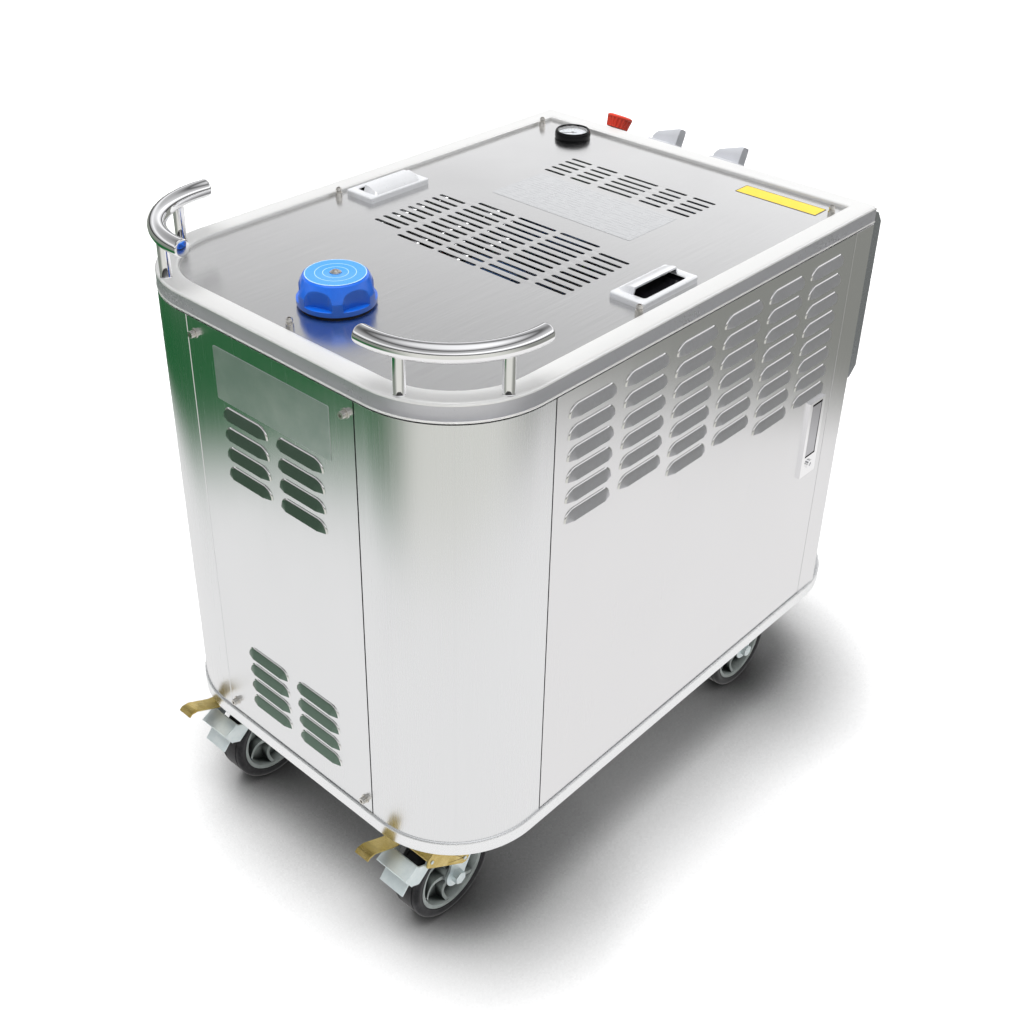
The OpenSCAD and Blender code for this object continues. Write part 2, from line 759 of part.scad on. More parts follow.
module fuel_tank() color([0.15, 0.16, 0.17]) difference() {
    union() {
        box([60, front_y + 640, seam_z], [300, rear_y - 46, 480]);
        translate([fuel_cap_pos[0], fuel_cap_pos[1], 479]) cylinder(r = 22, h = 30);
    }
    box([64, front_y + 644, seam_z + 4], [296, rear_y - 50, 476]);
    translate([fuel_cap_pos[0], fuel_cap_pos[1], 470]) cylinder(r = 18, h = 60);
}

module fuel_cap() color([0.80, 0.20, 0.12]) translate(fuel_cap_pos) difference() {
    union() {
        translate([0, 0, -8]) cylinder(r = 30, h = 26);
        box([-28, -4, 17], [28, 4, 28]);
    }
    translate([0, 0, -9]) cylinder(r = 22 + run_gap, h = 20.5);
}

// ---------- pump group and electrics ----------

module pump_set() color([0.16, 0.30, 0.48]) translate([0, pump_y, 0]) {
    box([-230, -70, seam_z], [150, 70, seam_z + 8]);
    for (x = [-200, -80]) box([x, -45, seam_z + 7], [x + 24, 45, pump_z - 40]);
    box([45, -35, seam_z + 7], [115, 35, pump_z - 40]);
    translate([0, 0, pump_z]) {
        difference() {
            rod_x(-225, -40, 62, 96);
            rod_x(-60, -30, 8 + run_gap);
        }
        difference() {
            union() {
                rod_x(20, 70, 48);
                box([65, -50, -42], [140, 50, 42]);
                for (y = [-30, 0, 30]) translate([102, y, 40]) cylinder(r = 11, h = 16, $fn = 6);
            }
            rod_x(10, 40, 8 + run_gap);
        }
    }
}

module drive_coupling() color([0.75, 0.60, 0.25]) translate([0, pump_y, pump_z]) {
    rod_x(-58, 38, 8);
    rod_x(-32, -13, 24);
    rod_x(-12, 14, 24);
    rod_x(-14, -11, 20);
}

module electrical_box() color([0.55, 0.57, 0.60]) {
    difference() {
        box([-300, front_y + 640, seam_z], [-60, rear_y - 46, 500]);
        box([-297, front_y + 643, seam_z + 3], [-63, rear_y - 49, 497]);
    }
    box([-296, front_y + 634, seam_z + 6], [-64, front_y + 640.1, 494]);
    for (x = [-260:40:-100]) translate([x, front_y + 700, 499]) cylinder(r = 10, h = 16);
}

// ---------- casters ----------

module at_caster(p, side) {
    translate([side * p[0], p[1], 0]) children();
}

// Top plate of a caster, bolted up into the tray's channels
module caster_plate() {
    box([-50, -58, base_z - 6], [50, 58, base_z]);
    for (x = [-38, 38], y = [-38, 38]) translate([x, y, base_z - 12])
        cylinder(r = 8, h = 7, $fn = 6);
}

// Top plate with the bearing race and kingpin of a swivel caster
module swivel_plate() {
    caster_plate();
    translate([0, 0, race_z]) cylinder(r = 32, h = base_z - 5 - race_z);
    translate([0, 0, race_z - 12]) cylinder(r = 8, h = 13);
}

module caster_plates() color([0.80, 0.84, 0.84]) for (s = [-1, 1]) {
    at_caster(front_caster, s) swivel_plate();
    at_caster(rear_caster, s) caster_plate();
}

// Legs of a fork hanging from the height given, with the axle bolt; the wheel trails towards -Y
module fork_legs(top) {
    for (s = [-1, 1]) translate([s * (fork_gap + fork_t / 2), 0, 0]) rotate([90, 0, 90])
        translate([0, 0, -fork_t / 2]) linear_extrude(fork_t) {
            polygon([[-30, top], [24, top], [28, top - 30], [-trail + 18, wheel_r - 6],
                [-trail - 18, wheel_r - 6]]);
            translate([-trail, wheel_r]) circle(20);
        }
    translate([0, -trail, wheel_r]) {
        rod_x(-fork_gap - 14, fork_gap + 14, axle_r);
        for (s = [-1, 1]) rod_x(s * (fork_gap + 9) - 5.5, s * (fork_gap + 9) + 5.5, 11, 6);
    }
}

// Swivelling fork, with the two pins of the lock lever
module front_fork() {
    top = race_z - 1;
    difference() {
        union() {
            translate([0, 0, top - 6]) cylinder(r = 34, h = 6);
            box([-fork_gap - 1, -26, top - 6], [fork_gap + 1, 24, top]);
        }
        translate([0, 0, top - 8]) cylinder(r = 8 + run_gap, h = 10);
    }
    fork_legs(top);
    both_sides() translate([0, lever_pivot[0], lever_pivot[1]])
        rod_x(fork_gap + 1, arm_x + 4, lever_pin_r);
}

// Rigid rear fork, welded to its top plate
module rear_fork() {
    top = base_z - 6;
    box([-fork_gap - 1, -26, top - 6], [fork_gap + 1, 24, top]);
    fork_legs(top);
}

module fork_metal() color([0.80, 0.84, 0.84]) children();
module front_fork_left() fork_metal() at_caster(front_caster, -1) front_fork();
module front_fork_right() fork_metal() at_caster(front_caster, 1) front_fork();
module rear_forks() fork_metal() for (s = [-1, 1]) at_caster(rear_caster, s) rear_fork();

module at_wheel(p, side) {
    at_caster(p, side) translate([0, -trail, wheel_r]) children();
}

module tyre() {
    rotate([0, 90, 0]) rotate_extrude($fn = 128) difference() {
        polygon([[hub_r, -wheel_w / 2], [wheel_r - 4, -wheel_w / 2], [wheel_r, 6 - wheel_w / 2],
            [wheel_r, wheel_w / 2 - 6], [wheel_r - 4, wheel_w / 2], [hub_r, wheel_w / 2]]);
        for (x = [-15, 15]) translate([wheel_r, x]) circle(1.5);
    }
}

module hub() {
    w = wheel_w - 6;
    difference() {
        union() {
            rod_x(-w / 2, w / 2, hub_r, 128);
            rod_x(-fork_gap + 0.6, fork_gap - 0.6, 15);
        }
        difference() {
            union() {
                rod_x(5, w, hub_r - 9, 128);
                rod_x(-w, -5, hub_r - 9, 128);
            }
            rod_x(-w, w, 17);
            for (a = [0:60:300]) rotate([a, 0, 0])
                box([-w / 2, -4, 0], [w / 2, 4, hub_r]);
        }
        rod_x(-w, w, axle_r + run_gap);
    }
}

module rubber() color([0.13, 0.14, 0.14]) children();
module hub_grey() color([0.50, 0.55, 0.54]) children();
module front_tyre_left() rubber() at_wheel(front_caster, -1) tyre();
module front_tyre_right() rubber() at_wheel(front_caster, 1) tyre();
module rear_tyre_left() rubber() at_wheel(rear_caster, -1) tyre();
module rear_tyre_right() rubber() at_wheel(rear_caster, 1) tyre();
module front_hub_left() hub_grey() at_wheel(front_caster, -1) hub();
module front_hub_right() hub_grey() at_wheel(front_caster, 1) hub();
module rear_hub_left() hub_grey() at_wheel(rear_caster, -1) hub();
module rear_hub_right() hub_grey() at_wheel(rear_caster, 1) hub();

// Lock lever: two arms outside the fork and a tongue over the wheel
module lock_lever() {
    t = 2.5;
    both_sides() difference() {
        translate([arm_x, 0, 0]) rotate([90, 0, 90]) linear_extrude(t) {
            polygon([[-62, 176], [-84, 176], [-102, 164], [-104, 150], [-92, 141], [-30.7, 99.8],
                [-19.3, 116.2], [-70, 158]]);
            translate(lever_pivot) circle(10);
        }
        translate([0, lever_pivot[0], lever_pivot[1]]) rod_x(0, 60, lever_pin_r + run_gap);
        translate([0, pedal_pivot[0], pedal_pivot[1]]) rod_x(0, 60, lever_pin_r + run_gap);
    }
    translate([-arm_x - t, 0, 0]) rotate([90, 0, 90]) linear_extrude(2 * (arm_x + t))
        polygon([[-62, 173.5], [-62, 176], [-84, 176], [-102, 164], [-102, 161], [-84.7, 173.2]]);
    translate([-arm_x - t, 0, 0]) rotate([90, 0, 90]) linear_extrude(27)
        polygon([[-84, 176], [-84, 173.5], [-128, 182], [-166, 199.3], [-176, 199.3], [-181, 195.5],
            [-182.6, 197.4], [-176.7, 202], [-165.5, 202], [-127.5, 184.7]]);
}

// Release pedal: a channel hung on the lock lever by two pins, with a foot flap
module release_pedal() {
    t = 2.5;
    w = arm_x - 1;
    both_sides() translate([w - t, 0, 0]) rotate([90, 0, 90]) linear_extrude(t) {
        polygon([[-86, 153], [-92, 147], [-118, 126], [-131, 132], [-143, 152], [-121, 163],
            [-104, 155]]);
        translate(pedal_pivot) circle(8);
    }
    translate([-w, 0, 0]) rotate([90, 0, 90]) linear_extrude(2 * w)
        polygon([[-119, 164.3], [-121, 165], [-144.6, 153.2], [-145, 151.8], [-132.8, 131.5],
            [-130.4, 132.7], [-141.5, 151.7], [-120, 162.4]]);
    translate([-w + 7, 0, 0]) rotate([90, 0, 90]) linear_extrude(2 * w - 14)
        polygon([[-134, 133.5], [-132, 135], [-129.6, 132.6], [-144.6, 115.6], [-146.6, 117.2],
            [-133, 132.6]]);
    both_sides() translate([0, pedal_pivot[0], pedal_pivot[1]])
        rod_x(w - 1, arm_x + 3.5, lever_pin_r);
}

module yellow_zinc() color([0.78, 0.66, 0.32]) children();
module bright_zinc() color([0.80, 0.86, 0.86]) children();
module lock_lever_left() yellow_zinc() at_caster(front_caster, -1) lock_lever();
module lock_lever_right() yellow_zinc() at_caster(front_caster, 1) lock_lever();
module release_pedal_left() bright_zinc() at_caster(front_caster, -1) release_pedal();
module release_pedal_right() bright_zinc() at_caster(front_caster, 1) release_pedal();

base_tray();
frame_posts();
corner_panels();
front_panel();
left_panel();
rear_corners();
rear_panel();
right_door();
hinge_pins();
latch_case();
latch_lever();
latch_button();
latch_bolt();
console_shell();
top_rim();
top_cover();
cap_screws();
cup_handles();
corner_rails();
label_plates();
water_tank();
cap_seal();
water_cap();
cap_disc();
gauge_case();
gauge_dial();
gauge_needle();
gauge_glass();
estop_collar();
estop_stem();
estop_head();
selector_knob_left();
selector_knob_right();
power_switch();
outlet_fittings();
boiler_shell();
burner_housing();
burner_fan();
fuel_tank();
fuel_cap();
pump_set();
drive_coupling();
electrical_box();
caster_plates();
front_fork_left();
front_fork_right();
rear_forks();
front_tyre_left();
front_tyre_right();
rear_tyre_left();
rear_tyre_right();
front_hub_left();
front_hub_right();
rear_hub_left();
rear_hub_right();
lock_lever_left();
lock_lever_right();
release_pedal_left();
release_pedal_right();
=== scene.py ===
import json
import math

import bmesh
import bpy
from mathutils import Matrix, Vector


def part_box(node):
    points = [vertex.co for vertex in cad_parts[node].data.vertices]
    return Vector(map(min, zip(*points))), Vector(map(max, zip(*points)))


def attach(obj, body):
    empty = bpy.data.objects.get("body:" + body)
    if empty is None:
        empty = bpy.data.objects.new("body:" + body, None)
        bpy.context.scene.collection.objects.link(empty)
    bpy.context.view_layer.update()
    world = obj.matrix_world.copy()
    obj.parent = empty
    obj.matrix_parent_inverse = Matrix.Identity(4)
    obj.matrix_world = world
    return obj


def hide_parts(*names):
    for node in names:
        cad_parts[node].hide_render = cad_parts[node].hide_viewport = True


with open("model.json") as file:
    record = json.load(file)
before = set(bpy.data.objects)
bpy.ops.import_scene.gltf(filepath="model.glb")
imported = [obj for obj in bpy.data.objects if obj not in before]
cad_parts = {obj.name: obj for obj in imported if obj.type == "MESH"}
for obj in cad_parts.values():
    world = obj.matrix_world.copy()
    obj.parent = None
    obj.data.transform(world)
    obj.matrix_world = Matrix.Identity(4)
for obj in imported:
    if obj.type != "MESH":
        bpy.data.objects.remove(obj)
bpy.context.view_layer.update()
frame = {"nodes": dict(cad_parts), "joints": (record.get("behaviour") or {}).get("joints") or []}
MM = 0.001

# ---------- places read from the frame, and the sheet metal's own sizes
rim_lo, rim_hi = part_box("top_rim")
tray_lo, tray_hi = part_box("base_tray")
door_lo, door_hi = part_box("right_door")
SIDE = rim_hi.x
FRONT = rim_lo.y
REAR = rim_hi.y
TOP = rim_hi.z
CORNER = 0.152
SHEET = 0.002  # thickness of the sheet metal
BEHIND = SHEET + 0.0001  # where a sheet's folded edge starts, from its face
FOLD = 0.012  # how deep the edges are folded back
STRIP_X, STRIP_Y = (0.133, 0.280), (FRONT + 0.843, FRONT + 0.877)
STRIP_EDGE = 0.0017  # dark border of the yellow strip


# ---------- shader helpers
class Graph:
    """A node tree being built, of a material or of the world."""

    def __init__(self, tree):
        self.tree = tree

    def node(self, kind, **settings):
        made = self.tree.nodes.new("ShaderNode" + kind)
        for key, value in settings.items():
            setattr(made, key, value)
        return made

    def link(self, a, b):
        self.tree.links.new(a, b)

    def feed(self, target, value):
        """Gives an input a plain value or another node's output."""
        if isinstance(value, bpy.types.NodeSocket):
            self.link(value, target)
        else:
            target.default_value = value

    def span(self, fac, low, high, start=0.0, end=1.0):
        made = self.node("MapRange")
        made.inputs["From Min"].default_value = start
        made.inputs["From Max"].default_value = end
        made.inputs["To Min"].default_value = low
        made.inputs["To Max"].default_value = high
        self.link(fac, made.inputs["Value"])
        return made.outputs["Result"]

    def math(self, operation, a, b=None):
        made = self.node("Math", operation=operation)
        self.feed(made.inputs[0], a)
        if b is not None:
            self.feed(made.inputs[1], b)
        return made.outputs["Value"]

    def times(self, a, b):
        return self.math("MULTIPLY", a, b)

    def distance(self, dx, dy):
        return self.math("SQRT", self.math("ADD", self.times(dx, dx), self.times(dy, dy)))

    def xyz(self, vector):
        split = self.node("SeparateXYZ")
        self.link(vector, split.inputs["Vector"])
        return [split.outputs[axis] for axis in "XYZ"]

    def ramp(self, fac, stops):
        """Follows the stops, which are each a position, a grey and the blue that tints it."""
        made = self.node("ValToRGB")
        self.link(fac, made.inputs["Fac"])
        elements = made.color_ramp.elements
        elements[0].position, elements[1].position = stops[0][0], stops[-1][0]
        for position, _, _ in stops[1:-1]:
            elements.new(position)
        for element, (_, grey, blue) in zip(elements, stops):
            element.color = (grey, grey, blue, 1)
        return made.outputs["Color"]

    def mix(self, fac, a, b):
        made = self.node("Mix", data_type="RGBA")
        self.feed(made.inputs["Factor"], fac)
        for target, value in zip([s for s in made.inputs if s.type == "RGBA"], (a, b)):
            self.feed(target, (*value, 1) if isinstance(value, tuple) else value)
        return next(s for s in made.outputs if s.type == "RGBA")


class Shader(Graph):
    """A material: a principled shader with texture nodes added to it."""

    def __init__(self, color, metallic=0.0, rough=0.5, **inputs):
        self.mat = bpy.data.materials.new("material")
        self.mat.use_nodes = True
        self.mat.diffuse_color = (*color, 1)
        super().__init__(self.mat.node_tree)
        self.bsdf = self.tree.nodes["Principled BSDF"]
        self.put("Base Color", (*color, 1))
        self.put("Metallic", metallic)
        self.put("Roughness", rough)
        for key, value in inputs.items():
            self.put(key.replace("_", " "), value)
        self.coords = self.node("TexCoord").outputs["Object"]
        self.height = None

    def put(self, name, value):
        self.bsdf.inputs[name].default_value = value

    def stretched(self, scale):
        mapping = self.node("Mapping")
        mapping.inputs["Scale"].default_value = scale if isinstance(scale, tuple) else (scale,) * 3
        self.link(self.coords, mapping.inputs["Vector"])
        return mapping.outputs["Vector"]

    def noise(self, scale, detail=3.0, roughness=0.55):
        made = self.node("TexNoise")
        made.inputs["Scale"].default_value = 1.0
        made.inputs["Detail"].default_value = detail
        made.inputs["Roughness"].default_value = roughness
        self.link(self.stretched(scale), made.inputs["Vector"])
        return made.outputs["Fac"]

    def color(self, value):
        self.link(value, self.bsdf.inputs["Base Color"])

    def rough(self, value):
        self.link(value, self.bsdf.inputs["Roughness"])

    def recess(self, reach, deep, clear, toward=None):
        """Painted shade factor: from deep in recesses to clear on open faces, by how much of the surroundings
        a point sees.
        """
        made = self.node("AmbientOcclusion", samples=8)
        made.inputs["Distance"].default_value = reach
        if toward:
            aim = self.node("CombineXYZ")
            for socket, value in zip(aim.inputs, Vector(toward).normalized()):
                socket.default_value = value
            self.link(aim.outputs["Vector"], made.inputs["Normal"])
        return self.span(made.outputs["AO"], 0.0, 1.0, deep, clear)

    def bump(self, height, strength=0.1, distance=0.001):
        made = self.node("Bump")
        made.inputs["Strength"].default_value = strength
        made.inputs["Distance"].default_value = distance
        self.link(height, made.inputs["Height"])
        if self.height is not None:
            self.link(self.height, made.inputs["Normal"])
        self.height = made.outputs["Normal"]
        self.link(self.height, self.bsdf.inputs["Normal"])

    def tint(self, color, spread, fac):
        """Base colour that varies by a small share around the one given."""
        low = tuple(c * (1 - spread) for c in color)
        high = tuple(min(1.0, c * (1 + spread)) for c in color)
        self.color(self.mix(fac, low, high))


def brushed(color, rough, grain, stretch, aniso=0.5, axis="Z", metallic=1.0, streak=0.03):
    """Brushed steel: fine streaks along one axis, smudges, stretched highlights."""
    s = Shader(color, metallic, rough)
    streaks = s.noise(grain, 4.0, 0.7)
    smudges = s.noise(stretch)
    s.tint(color, streak, streaks)
    both = s.math("ADD", s.span(streaks, -0.07, 0.07), s.span(smudges, rough - 0.05, rough + 0.05))
    s.rough(both)
    s.bump(streaks, 0.03, 0.0003)
    s.put("Anisotropic", aniso)
    tangent = s.node("Tangent", direction_type="RADIAL", axis=axis)
    s.link(tangent.outputs["Tangent"], s.bsdf.inputs["Tangent"])
    return s.mat


# ---------- materials
def steel_front():
    return brushed((0.80, 0.81, 0.82), 0.24, (520, 520, 6), (7, 7, 4))


def steel_corner():
    return brushed((0.81, 0.82, 0.83), 0.26, (520, 520, 6), (7, 7, 3))


def steel_side():
    return brushed((0.80, 0.80, 0.81), 0.24, (480, 480, 7), (5, 5, 4))


def steel_cover():
    return brushed((0.80, 0.80, 0.80), 0.22, (600, 8, 600), (5, 4, 5), axis="Y", streak=0.12)


def steel_rim():
    return brushed((0.88, 0.88, 0.87), 0.34, 300, 9, 0.2, metallic=0.55)


# A darker, bluer copy of the rim steel for the rim's outer band: painted reflection.
def steel_rim_painted_side():
    return brushed((0.60, 0.60, 0.64), 0.30, 300, 9, 0.2, metallic=0.8)


def steel_tray():
    return brushed((0.88, 0.89, 0.90), 0.28, (260, 260, 500), 8, 0.2)


def steel_console():
    return brushed((0.46, 0.48, 0.52), 0.26, (9, 500, 500), 6, axis="X")


def pressed(color):
    """Satin face of a pressed louvre hood, in a colour darker than the sheet steel: painted reflection."""
    s = Shader(color, 0.85, 0.36)
    grain = s.noise(260)
    s.tint(color, 0.10, grain)
    s.rough(s.span(grain, 0.30, 0.42))
    s.bump(grain, 0.08, 0.0005)
    return s.mat


# Side hood faces: a darker grey copy of the sheet steel, painted reflection.
def louvre_face():
    return pressed((0.56, 0.56, 0.59))


# Front hood faces: a darker, green copy of the sheet steel, painted shade and painted green reflection.
def louvre_painted_shade_and_reflection():
    return pressed((0.13, 0.19, 0.15))


# Hood edge bands: a brighter, smoother copy of the steel, painted highlight.
def louvre_painted_highlight_rim():
    return brushed((0.82, 0.82, 0.82), 0.16, 300, 9, 0.0)


def polished(color, smears, low, high, ripple):
    """Chrome: faint smears and ripples."""
    s = Shader(color, 1.0)
    s.rough(s.span(s.noise(smears, 4.0), low, high))
    s.bump(s.noise(ripple, 2.0), 0.02, 0.0006)
    return s.mat


def chrome():
    return polished((0.90, 0.90, 0.91), 22, 0.02, 0.07, 60)


# A darker copy of the chrome for the latch lever: painted reflection.
def chrome_painted_dark():
    return polished((0.46, 0.46, 0.48), 30, 0.04, 0.12, 80)


def grained(color, metallic, grain, spread, cloud, rough, bump, **inputs):
    """A fine grain and a cloudy tone; grain is a scale and detail, rough and bump are pairs."""
    s = Shader(color, metallic, **inputs)
    fine = s.noise(*grain)
    s.tint(color, spread, s.noise(cloud))
    s.rough(s.span(fine, *rough))
    s.bump(fine, *bump)
    return s.mat


def satin_metal():
    return grained((0.74, 0.75, 0.77), 0.9, (420, 4.0), 0.08, 30, (0.26, 0.42), (0.10, 0.0003))


def cup_silver():
    return grained((0.80, 0.81, 0.83), 0.35, (420, 4.0), 0.05, 30, (0.22, 0.38), (0.06, 0.0003),
                   Coat_Weight=0.4, Coat_Roughness=0.12)


def screw_steel():
    return grained((0.70, 0.68, 0.64), 1.0, (700, 3.0), 0.15, 240, (0.18, 0.42), (0.12, 0.0003))


def cap_blue():
    return grained((0.003, 0.125, 0.66), 0.0, (500, 4.0), 0.12, 28, (0.24, 0.40), (0.10, 0.0004),
                   Coat_Weight=0.5, Coat_Roughness=0.10)


def rings(s, centre, edges, first, second):
    """Colour that swaps between two at each radius in edges, around a vertical axis."""
    x, y, _ = s.xyz(s.coords)
    dx = s.math("SUBTRACT", x, centre[0])
    dy = s.math("SUBTRACT", y, centre[1])
    r = s.distance(dx, dy)
    level = 0.0
    for i, edge in enumerate(edges):
        step = s.span(r, 0.0, 1.0 if i % 2 == 0 else -1.0, edge - 0.0004, edge + 0.0004)
        level = step if i == 0 else s.math("ADD", level, step)
    return s.mix(level, first, second)


def cap_label():
    lo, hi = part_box("cap_disc")
    centre = ((lo.x + hi.x) / 2, (lo.y + hi.y) / 2)
    s = Shader((0.055, 0.30, 0.80), 0.0, 0.34, Coat_Weight=0.1)
    grain = s.noise(300)
    radii = (0.0165, 0.0172, 0.0268, 0.0275, 0.0398, 0.0409)
    s.color(rings(s, centre, radii, (0.055, 0.30, 0.80), (0.55, 0.76, 0.95)))
    s.rough(s.span(grain, 0.22, 0.38))
    s.bump(grain, 0.06, 0.0003)
    return s.mat


def plastic(color, rough=0.42, grain=380, spread=0.07, **inputs):
    s = Shader(color, 0.0, rough, **inputs)
    fine = s.noise((grain, grain, grain), 4.0)
    s.tint(color, spread, s.noise(26))
    s.rough(s.span(fine, rough - 0.09, rough + 0.09))
    s.bump(fine, 0.12, 0.0004)
    return s.mat


def knob_grey():
    return plastic((0.53, 0.54, 0.57), 0.36)


def stop_red():
    return plastic((0.78, 0.055, 0.025), 0.34, Coat_Weight=0.25)


def stop_teal():
    return plastic((0.16, 0.60, 0.53), 0.40)


def gloss_black():
    return plastic((0.004, 0.004, 0.005), 0.16, 200, Specular_IOR_Level=0.22)


def seal_rubber():
    return plastic((0.015, 0.015, 0.017), 0.70, 600)


def tyre_rubber():
    s = Shader((0.022, 0.023, 0.026), 0.0, 0.45, Specular_IOR_Level=0.14)
    fine = s.noise(420, 5.0)
    dust = s.noise(34, 5.0, 0.7)
    s.color(s.mix(s.span(dust, 0.0, 1.0, 0.42, 0.74), (0.012, 0.012, 0.014), (0.050, 0.050, 0.053)))
    s.rough(s.span(dust, 0.30, 0.62))
    s.bump(fine, 0.12, 0.0005)
    return s.mat


def hub_plastic():
    s = Shader((0.20, 0.235, 0.225), 0.0, 0.46)
    fine = s.noise(380, 4.0)
    dirt = s.noise(48, 4.0, 0.65)
    open_face_tone = s.mix(s.span(dirt, 0.0, 1.0, 0.40, 0.75), (0.42, 0.47, 0.45), (0.30, 0.33, 0.32))
    # Painted shade: recesses of the hub, found by ambient occlusion, are darkened to near black.
    s.color(s.mix(s.recess(0.022, 0.45, 0.80), (0.030, 0.036, 0.034), open_face_tone))
    s.rough(s.span(fine, 0.36, 0.56))
    s.bump(fine, 0.15, 0.0004)
    return s.mat


def plated(color, second, rough=0.30, metallic=0.92):
    """Zinc plate: cloudy tone, fine grain, brighter worn areas, and faces turned downwards darkened as
    painted shade.
    """
    s = Shader(color, metallic, rough)
    cloud = s.noise(38, 4.0, 0.6)
    fine = s.noise(520)
    height = s.xyz(s.node("NewGeometry").outputs["Normal"])[2]
    # Painted shade: the more a face turns downwards, the more its colour is darkened.
    under = s.span(height, 0.75, 0.0, -0.70, -0.15)
    plate = s.mix(s.span(cloud, 0.0, 1.0, 0.35, 0.70), color, second)
    s.color(s.mix(under, plate, tuple(0.25 * c for c in color)))
    s.rough(s.span(fine, rough - 0.08, rough + 0.12))
    s.bump(fine, 0.10, 0.0003)
    return s.mat


def bright_zinc():
    return plated((0.62, 0.70, 0.71), (0.76, 0.82, 0.82), 0.34, 0.55)


def gold_zinc():
    return plated((0.50, 0.37, 0.10), (0.70, 0.56, 0.24), 0.22)


def brass():
    return plated((0.72, 0.53, 0.24), (0.82, 0.66, 0.38), 0.28)


def painted(color, rough=0.45):
    """Enamel paint with orange peel and faint dust."""
    s = Shader(color, 0.0, rough, Coat_Weight=0.2)
    peel = s.noise(160, 2.0)
    dust = s.noise(18, 4.0, 0.65)
    pale = tuple(0.75 * c + 0.10 for c in color)
    s.color(s.mix(s.span(dust, 0.0, 0.8, 0.45, 0.80), color, pale))
    s.rough(s.span(dust, rough - 0.1, rough + 0.15))
    s.bump(peel, 0.08, 0.0006)
    return s.mat


def frame_paint():
    return painted((0.36, 0.37, 0.39), 0.5)


def boiler_paint():
    return painted((0.60, 0.61, 0.62), 0.42)


def motor_paint():
    return painted((0.03, 0.085, 0.21), 0.38)


def box_paint():
    return painted((0.27, 0.29, 0.32), 0.5)


def dark_poly():
    return plastic((0.02, 0.021, 0.024), 0.5, 220)


def pale_poly():
    return plastic((0.76, 0.78, 0.76), 0.48, 220, Subsurface_Weight=0.15)


def fuel_red():
    return plastic((0.62, 0.035, 0.02), 0.40)


def dial_face():
    lo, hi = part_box("gauge_dial")
    centre = ((lo.x + hi.x) / 2, (lo.y + hi.y) / 2)
    s = Shader((0.86, 0.87, 0.88), 0.0, 0.5)
    x, y, _ = s.xyz(s.coords)
    dx = s.math("SUBTRACT", x, centre[0])
    dy = s.math("SUBTRACT", y, centre[1])
    r = s.distance(dx, dy)
    turn = s.math("FRACT", s.times(s.math("ARCTAN2", dy, dx), 24 / (2 * math.pi)))
    tick = s.times(s.math("LESS_THAN", turn, 0.16), s.math("GREATER_THAN", r, 0.019))
    mark = s.times(tick, s.math("LESS_THAN", r, 0.024))
    grain = s.noise(240)
    s.color(s.mix(mark, (0.86, 0.87, 0.88), (0.03, 0.03, 0.035)))
    s.rough(s.span(grain, 0.42, 0.58))
    s.bump(grain, 0.05, 0.0003)
    return s.mat


def clear_glass():
    s = Shader((0.96, 0.98, 1.0), 0.0, 0.03, Transmission_Weight=1.0, IOR=1.45)
    s.rough(s.span(s.noise(60), 0.01, 0.06))
    s.bump(s.noise(90, 2.0), 0.01, 0.0003)
    return s.mat


def name_film():
    """Blank film plate: grey tint over steel."""
    s = Shader((0.44, 0.50, 0.47), 0.75, 0.30, Coat_Weight=0.6, Coat_Roughness=0.12)
    cloud = s.noise(14, 4.0, 0.6)
    fine = s.noise((420, 420, 12))
    s.color(s.mix(s.span(cloud, 0.0, 1.0, 0.35, 0.7), (0.38, 0.45, 0.42), (0.52, 0.57, 0.54)))
    s.rough(s.span(fine, 0.24, 0.38))
    s.bump(fine, 0.05, 0.0003)
    return s.mat


def info_film():
    """Blank information plate: pale film with faint ruled lines instead of printing."""
    s = Shader((0.70, 0.71, 0.72), 0.95, 0.26)
    y = s.xyz(s.coords)[1]
    row = s.math("FRACT", s.times(y, 130.0))
    dash = s.noise((60, 130, 1), 1.0)
    mark = s.times(s.math("LESS_THAN", row, 0.34), s.math("GREATER_THAN", dash, 0.47))
    fine = s.noise((300, 20, 300))
    s.color(s.mix(s.times(mark, 0.25), (0.84, 0.85, 0.86), (0.52, 0.53, 0.55)))
    s.rough(s.span(fine, 0.22, 0.30))
    s.bump(fine, 0.03, 0.0003)
    return s.mat


def strip_yellow():
    s = Shader((0.84, 0.62, 0.03), 0.0, 0.42, Coat_Weight=0.2)
    x, y, _ = s.xyz(s.coords)
    across = s.math("ABSOLUTE", s.math("SUBTRACT", x, sum(STRIP_X) / 2))
    along = s.math("ABSOLUTE", s.math("SUBTRACT", y, sum(STRIP_Y) / 2))
    wide, deep = ((high - low) / 2 - STRIP_EDGE for low, high in (STRIP_X, STRIP_Y))
    edge = s.math("MAXIMUM", s.math("GREATER_THAN", across, wide), s.math("GREATER_THAN", along, deep))
    fine = s.noise(300)
    cloud = s.mix(s.noise(40), (0.76, 0.53, 0.025), (0.84, 0.61, 0.04))
    s.color(s.mix(edge, cloud, (0.10, 0.09, 0.05)))
    s.rough(s.span(fine, 0.34, 0.50))
    s.bump(fine, 0.08, 0.0003)
    return s.mat


MATS = {}


def mat(maker):
    """The material that a function makes, made once and called by the function's name."""
    if maker.__name__ not in MATS:
        MATS[maker.__name__] = maker()
        MATS[maker.__name__].name = maker.__name__
    return MATS[maker.__name__]


